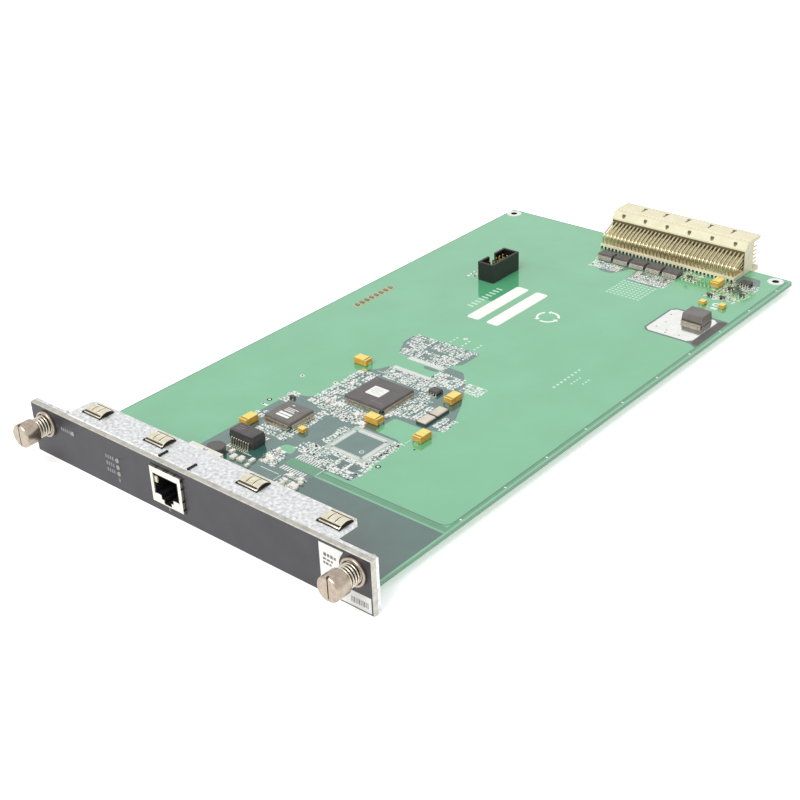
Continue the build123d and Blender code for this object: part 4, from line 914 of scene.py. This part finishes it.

# the shield: slits on its top and slots on its rim drawn black as painted shade in the openings, painted
# shadow in the gap round it and painted shade along the edge of the port
low, high = edgesOf("network_jack_shell")
slits = [(77.0, 18.4, 0.3, 1.2), (78.4, 18.4, 0.3, 1.2), (77.7, 17.9, 1.1, 0.3), (82.4, 17.6, 2.4, 0.3)]
rimSlots = {"top": (72.6, 76.8, 78.1, 82.2), "side": (5.6, 9.2, 14.3, 17.6), "y": -0.6, "long": 1.1}
putMesh("shellSlits", bars(slits, high[2], high[2] + 0.01), "hole")
putMesh("shieldSlots", joined(
    blocks([(x, rimSlots["y"]) for x in rimSlots["top"]], (0.8, rimSlots["long"]), high[2] - 0.2,
           high[2] + 0.01),
    *[blocks([(high[0], rimSlots["y"])], (0.06, rimSlots["long"]), z, z + 0.9) for z in rimSlots["side"]]),
    "hole")
# a cream block inside the port's upper left: a painted highlight on the black insert
putMesh("portHighlight", blocks([(72.0, -0.6)], (1.3, 0.5), 12.8, 15.2), "cream")
jackGapShadow = [((low[0] + high[0]) / 2, high[2] + 0.22, 16.8, 0.44), (low[0] - 0.2, 11.9, 0.4, 14.6),
           (high[0] + 0.2, 11.9, 0.4, 14.6)]
portEdgeShade = [(71.15, 12.4, 0.42, 8.4), (83.65, 12.4, 0.42, 8.4), (77.4, 16.6, 12.9, 0.3)]
print("details made")


# print on the faceplate and its sticker, as plain bars
def onFace(shape):
    # a film made flat, stood up on the front face
    points, faces = shape
    return np.c_[points[:, 0], -points[:, 2], points[:, 1]], faces


# painted shadow in the gap round the shield and painted shade along the port's edge, laid on the front face
putMesh("jackGapShadow", onFace(bars(jackGapShadow, 0, 0.02)), "hole")
putMesh("portEdgeShade", onFace(bars(portEdgeShade, 1.19, 1.22)), "hole")
faceMarks = {"groups": [(20.4, 15.5, 5), (45.2, 13.0, 4), (45.2, 10.15, 4), (45.2, 7.3, 4), (76.4, 2.7, 1),
                        (49.4, 4.6, 1)], "pitch": 1.25, "size": (0.62, 1.5), "proud": 0.02}
places = np.concatenate([np.c_[x + (np.arange(n) - (n - 1) / 2) * faceMarks["pitch"], np.full(n, z)]
                         for x, z, n in faceMarks["groups"]])
putMesh("faceMarks", onFace(blocks(places, faceMarks["size"], 0, faceMarks["proud"])), "faceInk")

sticker = {
    "lines": [
        (152.9, 16.1, 1.2, 1.3), (154.4, 16.1, 1, 1.2), (155.8, 16, 1.1, 1.3), (157.2, 15.9, 0.9, 1.1),
        (152.6, 14.3, 1.3, 0.8), (154.3, 14.2, 1.3, 0.8), (155.8, 14.1, 0.9, 0.8), (152.4, 12.8, 0.9, 0.9),
        (153.7, 12.7, 1.2, 0.9), (155.1, 12.6, 0.9, 0.8)],
    "bars": (163.4, 170.5, 11), "barTall": 2.2, "barMiddle": 3.5, "low": 0.1, "high": 0.115,
}
putMesh("stickerLines", onFace(bars(sticker["lines"], sticker["low"], sticker["high"])), "ink")
barX = np.linspace(*sticker["bars"])
barWide = 0.24 + 0.1 * (np.arange(len(barX)) * 7 % 3)
putMesh("stickerBars", onFace(blocks(np.c_[barX, np.full(len(barX), sticker["barMiddle"])],
                                     np.c_[barWide, np.full(len(barX), sticker["barTall"])],
                                     sticker["low"], sticker["high"])), "ink")
print("faceplate printed")


# floor, light and camera
lightSettings = {"sky": 0.66, "floorGlow": 0.42, "keyPower": 1.75, "keyTurn": (38, 12, -20), "keyAngle": 40}


def seenRay(tree):
    # 1 for the rays that show the surroundings: to the camera, in a gloss and through glass
    path = addNode(tree, "ShaderNodeLightPath")
    near = addNode(tree, "ShaderNodeMath", {0: path.outputs["Is Camera Ray"],
                                            1: path.outputs["Is Glossy Ray"]}, operation="MAXIMUM")
    return addNode(tree, "ShaderNodeMath", {0: near.outputs[0], 1: path.outputs["Is Transmission Ray"]},
                   operation="MAXIMUM")


def layFloor():
    floor = bpy.data.meshes.new("floor")
    floor.from_pydata([(-4, -4, 0), (4, -4, 0), (4, 4, 0), (-4, 4, 0)], [], [(0, 1, 2, 3)])
    floorObject = bpy.data.objects.new("floor", floor)
    bpy.context.scene.collection.objects.link(floorObject)
    floorObject.location.z = -0.0002
    material, tree, shader, where = newMaterial("paleFloor", 0.7)
    shader.inputs["Base Color"].default_value = linear("#f4f4f4")
    glow = addNode(tree, "ShaderNodeEmission", Color=(1, 1, 1, 1), Strength=lightSettings["floorGlow"])
    off = addNode(tree, "ShaderNodeEmission", Color=(0, 0, 0, 1), Strength=0.0)
    mix = addNode(tree, "ShaderNodeMixShader", {0: seenRay(tree).outputs[0], 1: off.outputs[0],
                                                2: glow.outputs[0]})
    both = addNode(tree, "ShaderNodeAddShader", {0: shader.outputs[0], 1: mix.outputs[0]})
    tree.links.new(both.outputs[0], tree.nodes["Material Output"].inputs["Surface"])
    floorObject.data.materials.append(material)


def lightIt():
    world = bpy.data.worlds.new("paleSky")
    bpy.context.scene.world = world
    world.use_nodes = True
    sky = world.node_tree
    background = sky.nodes["Background"]
    background.inputs["Color"].default_value = (1, 1, 1, 1)
    background.inputs["Strength"].default_value = lightSettings["sky"]
    whole = addNode(sky, "ShaderNodeBackground", Color=(1, 1, 1, 1), Strength=1.0)
    mix = addNode(sky, "ShaderNodeMixShader", {0: seenRay(sky).outputs[0], 1: background.outputs[0],
                                               2: whole.outputs[0]})
    sky.links.new(mix.outputs[0], sky.nodes["World Output"].inputs["Surface"])
    key = bpy.data.lights.new("softKey", "SUN")
    key.energy = lightSettings["keyPower"]
    key.angle = math.radians(lightSettings["keyAngle"])
    keyObject = bpy.data.objects.new("softKey", key)
    keyObject.rotation_euler = [math.radians(a) for a in lightSettings["keyTurn"]]
    bpy.context.scene.collection.objects.link(keyObject)


# the camera stands off the right front corner and looks down across the card
cameraSettings = {"place": (416.85, -258.81, 275.43), "sideways": -41.513, "down": 29.01, "roll": -2.555,
                  "focalPixels": 1405.0, "framePixels": 800.0, "sensor": 36.0}


def setCamera():
    s = cameraSettings
    camera = bpy.data.cameras.new("camera")
    camera.sensor_width = s["sensor"]
    camera.lens = s["focalPixels"] / s["framePixels"] * s["sensor"]
    cameraObject = bpy.data.objects.new("camera", camera)
    side, down = math.radians(s["sideways"]), math.radians(s["down"])
    ahead = Vector((math.sin(side) * math.cos(down), math.cos(side) * math.cos(down), -math.sin(down)))
    turn = ahead.to_track_quat("-Z", "Y").to_matrix() @ Matrix.Rotation(math.radians(s["roll"]), 3, "Z")
    cameraObject.matrix_world = Matrix.Translation(inPlace(s["place"]).tolist()) @ turn.to_4x4()
    bpy.context.scene.collection.objects.link(cameraObject)
    bpy.context.scene.camera = cameraObject


layFloor()
lightIt()
setCamera()
bpy.context.scene.view_settings.view_transform = "Standard"
print("stage set")
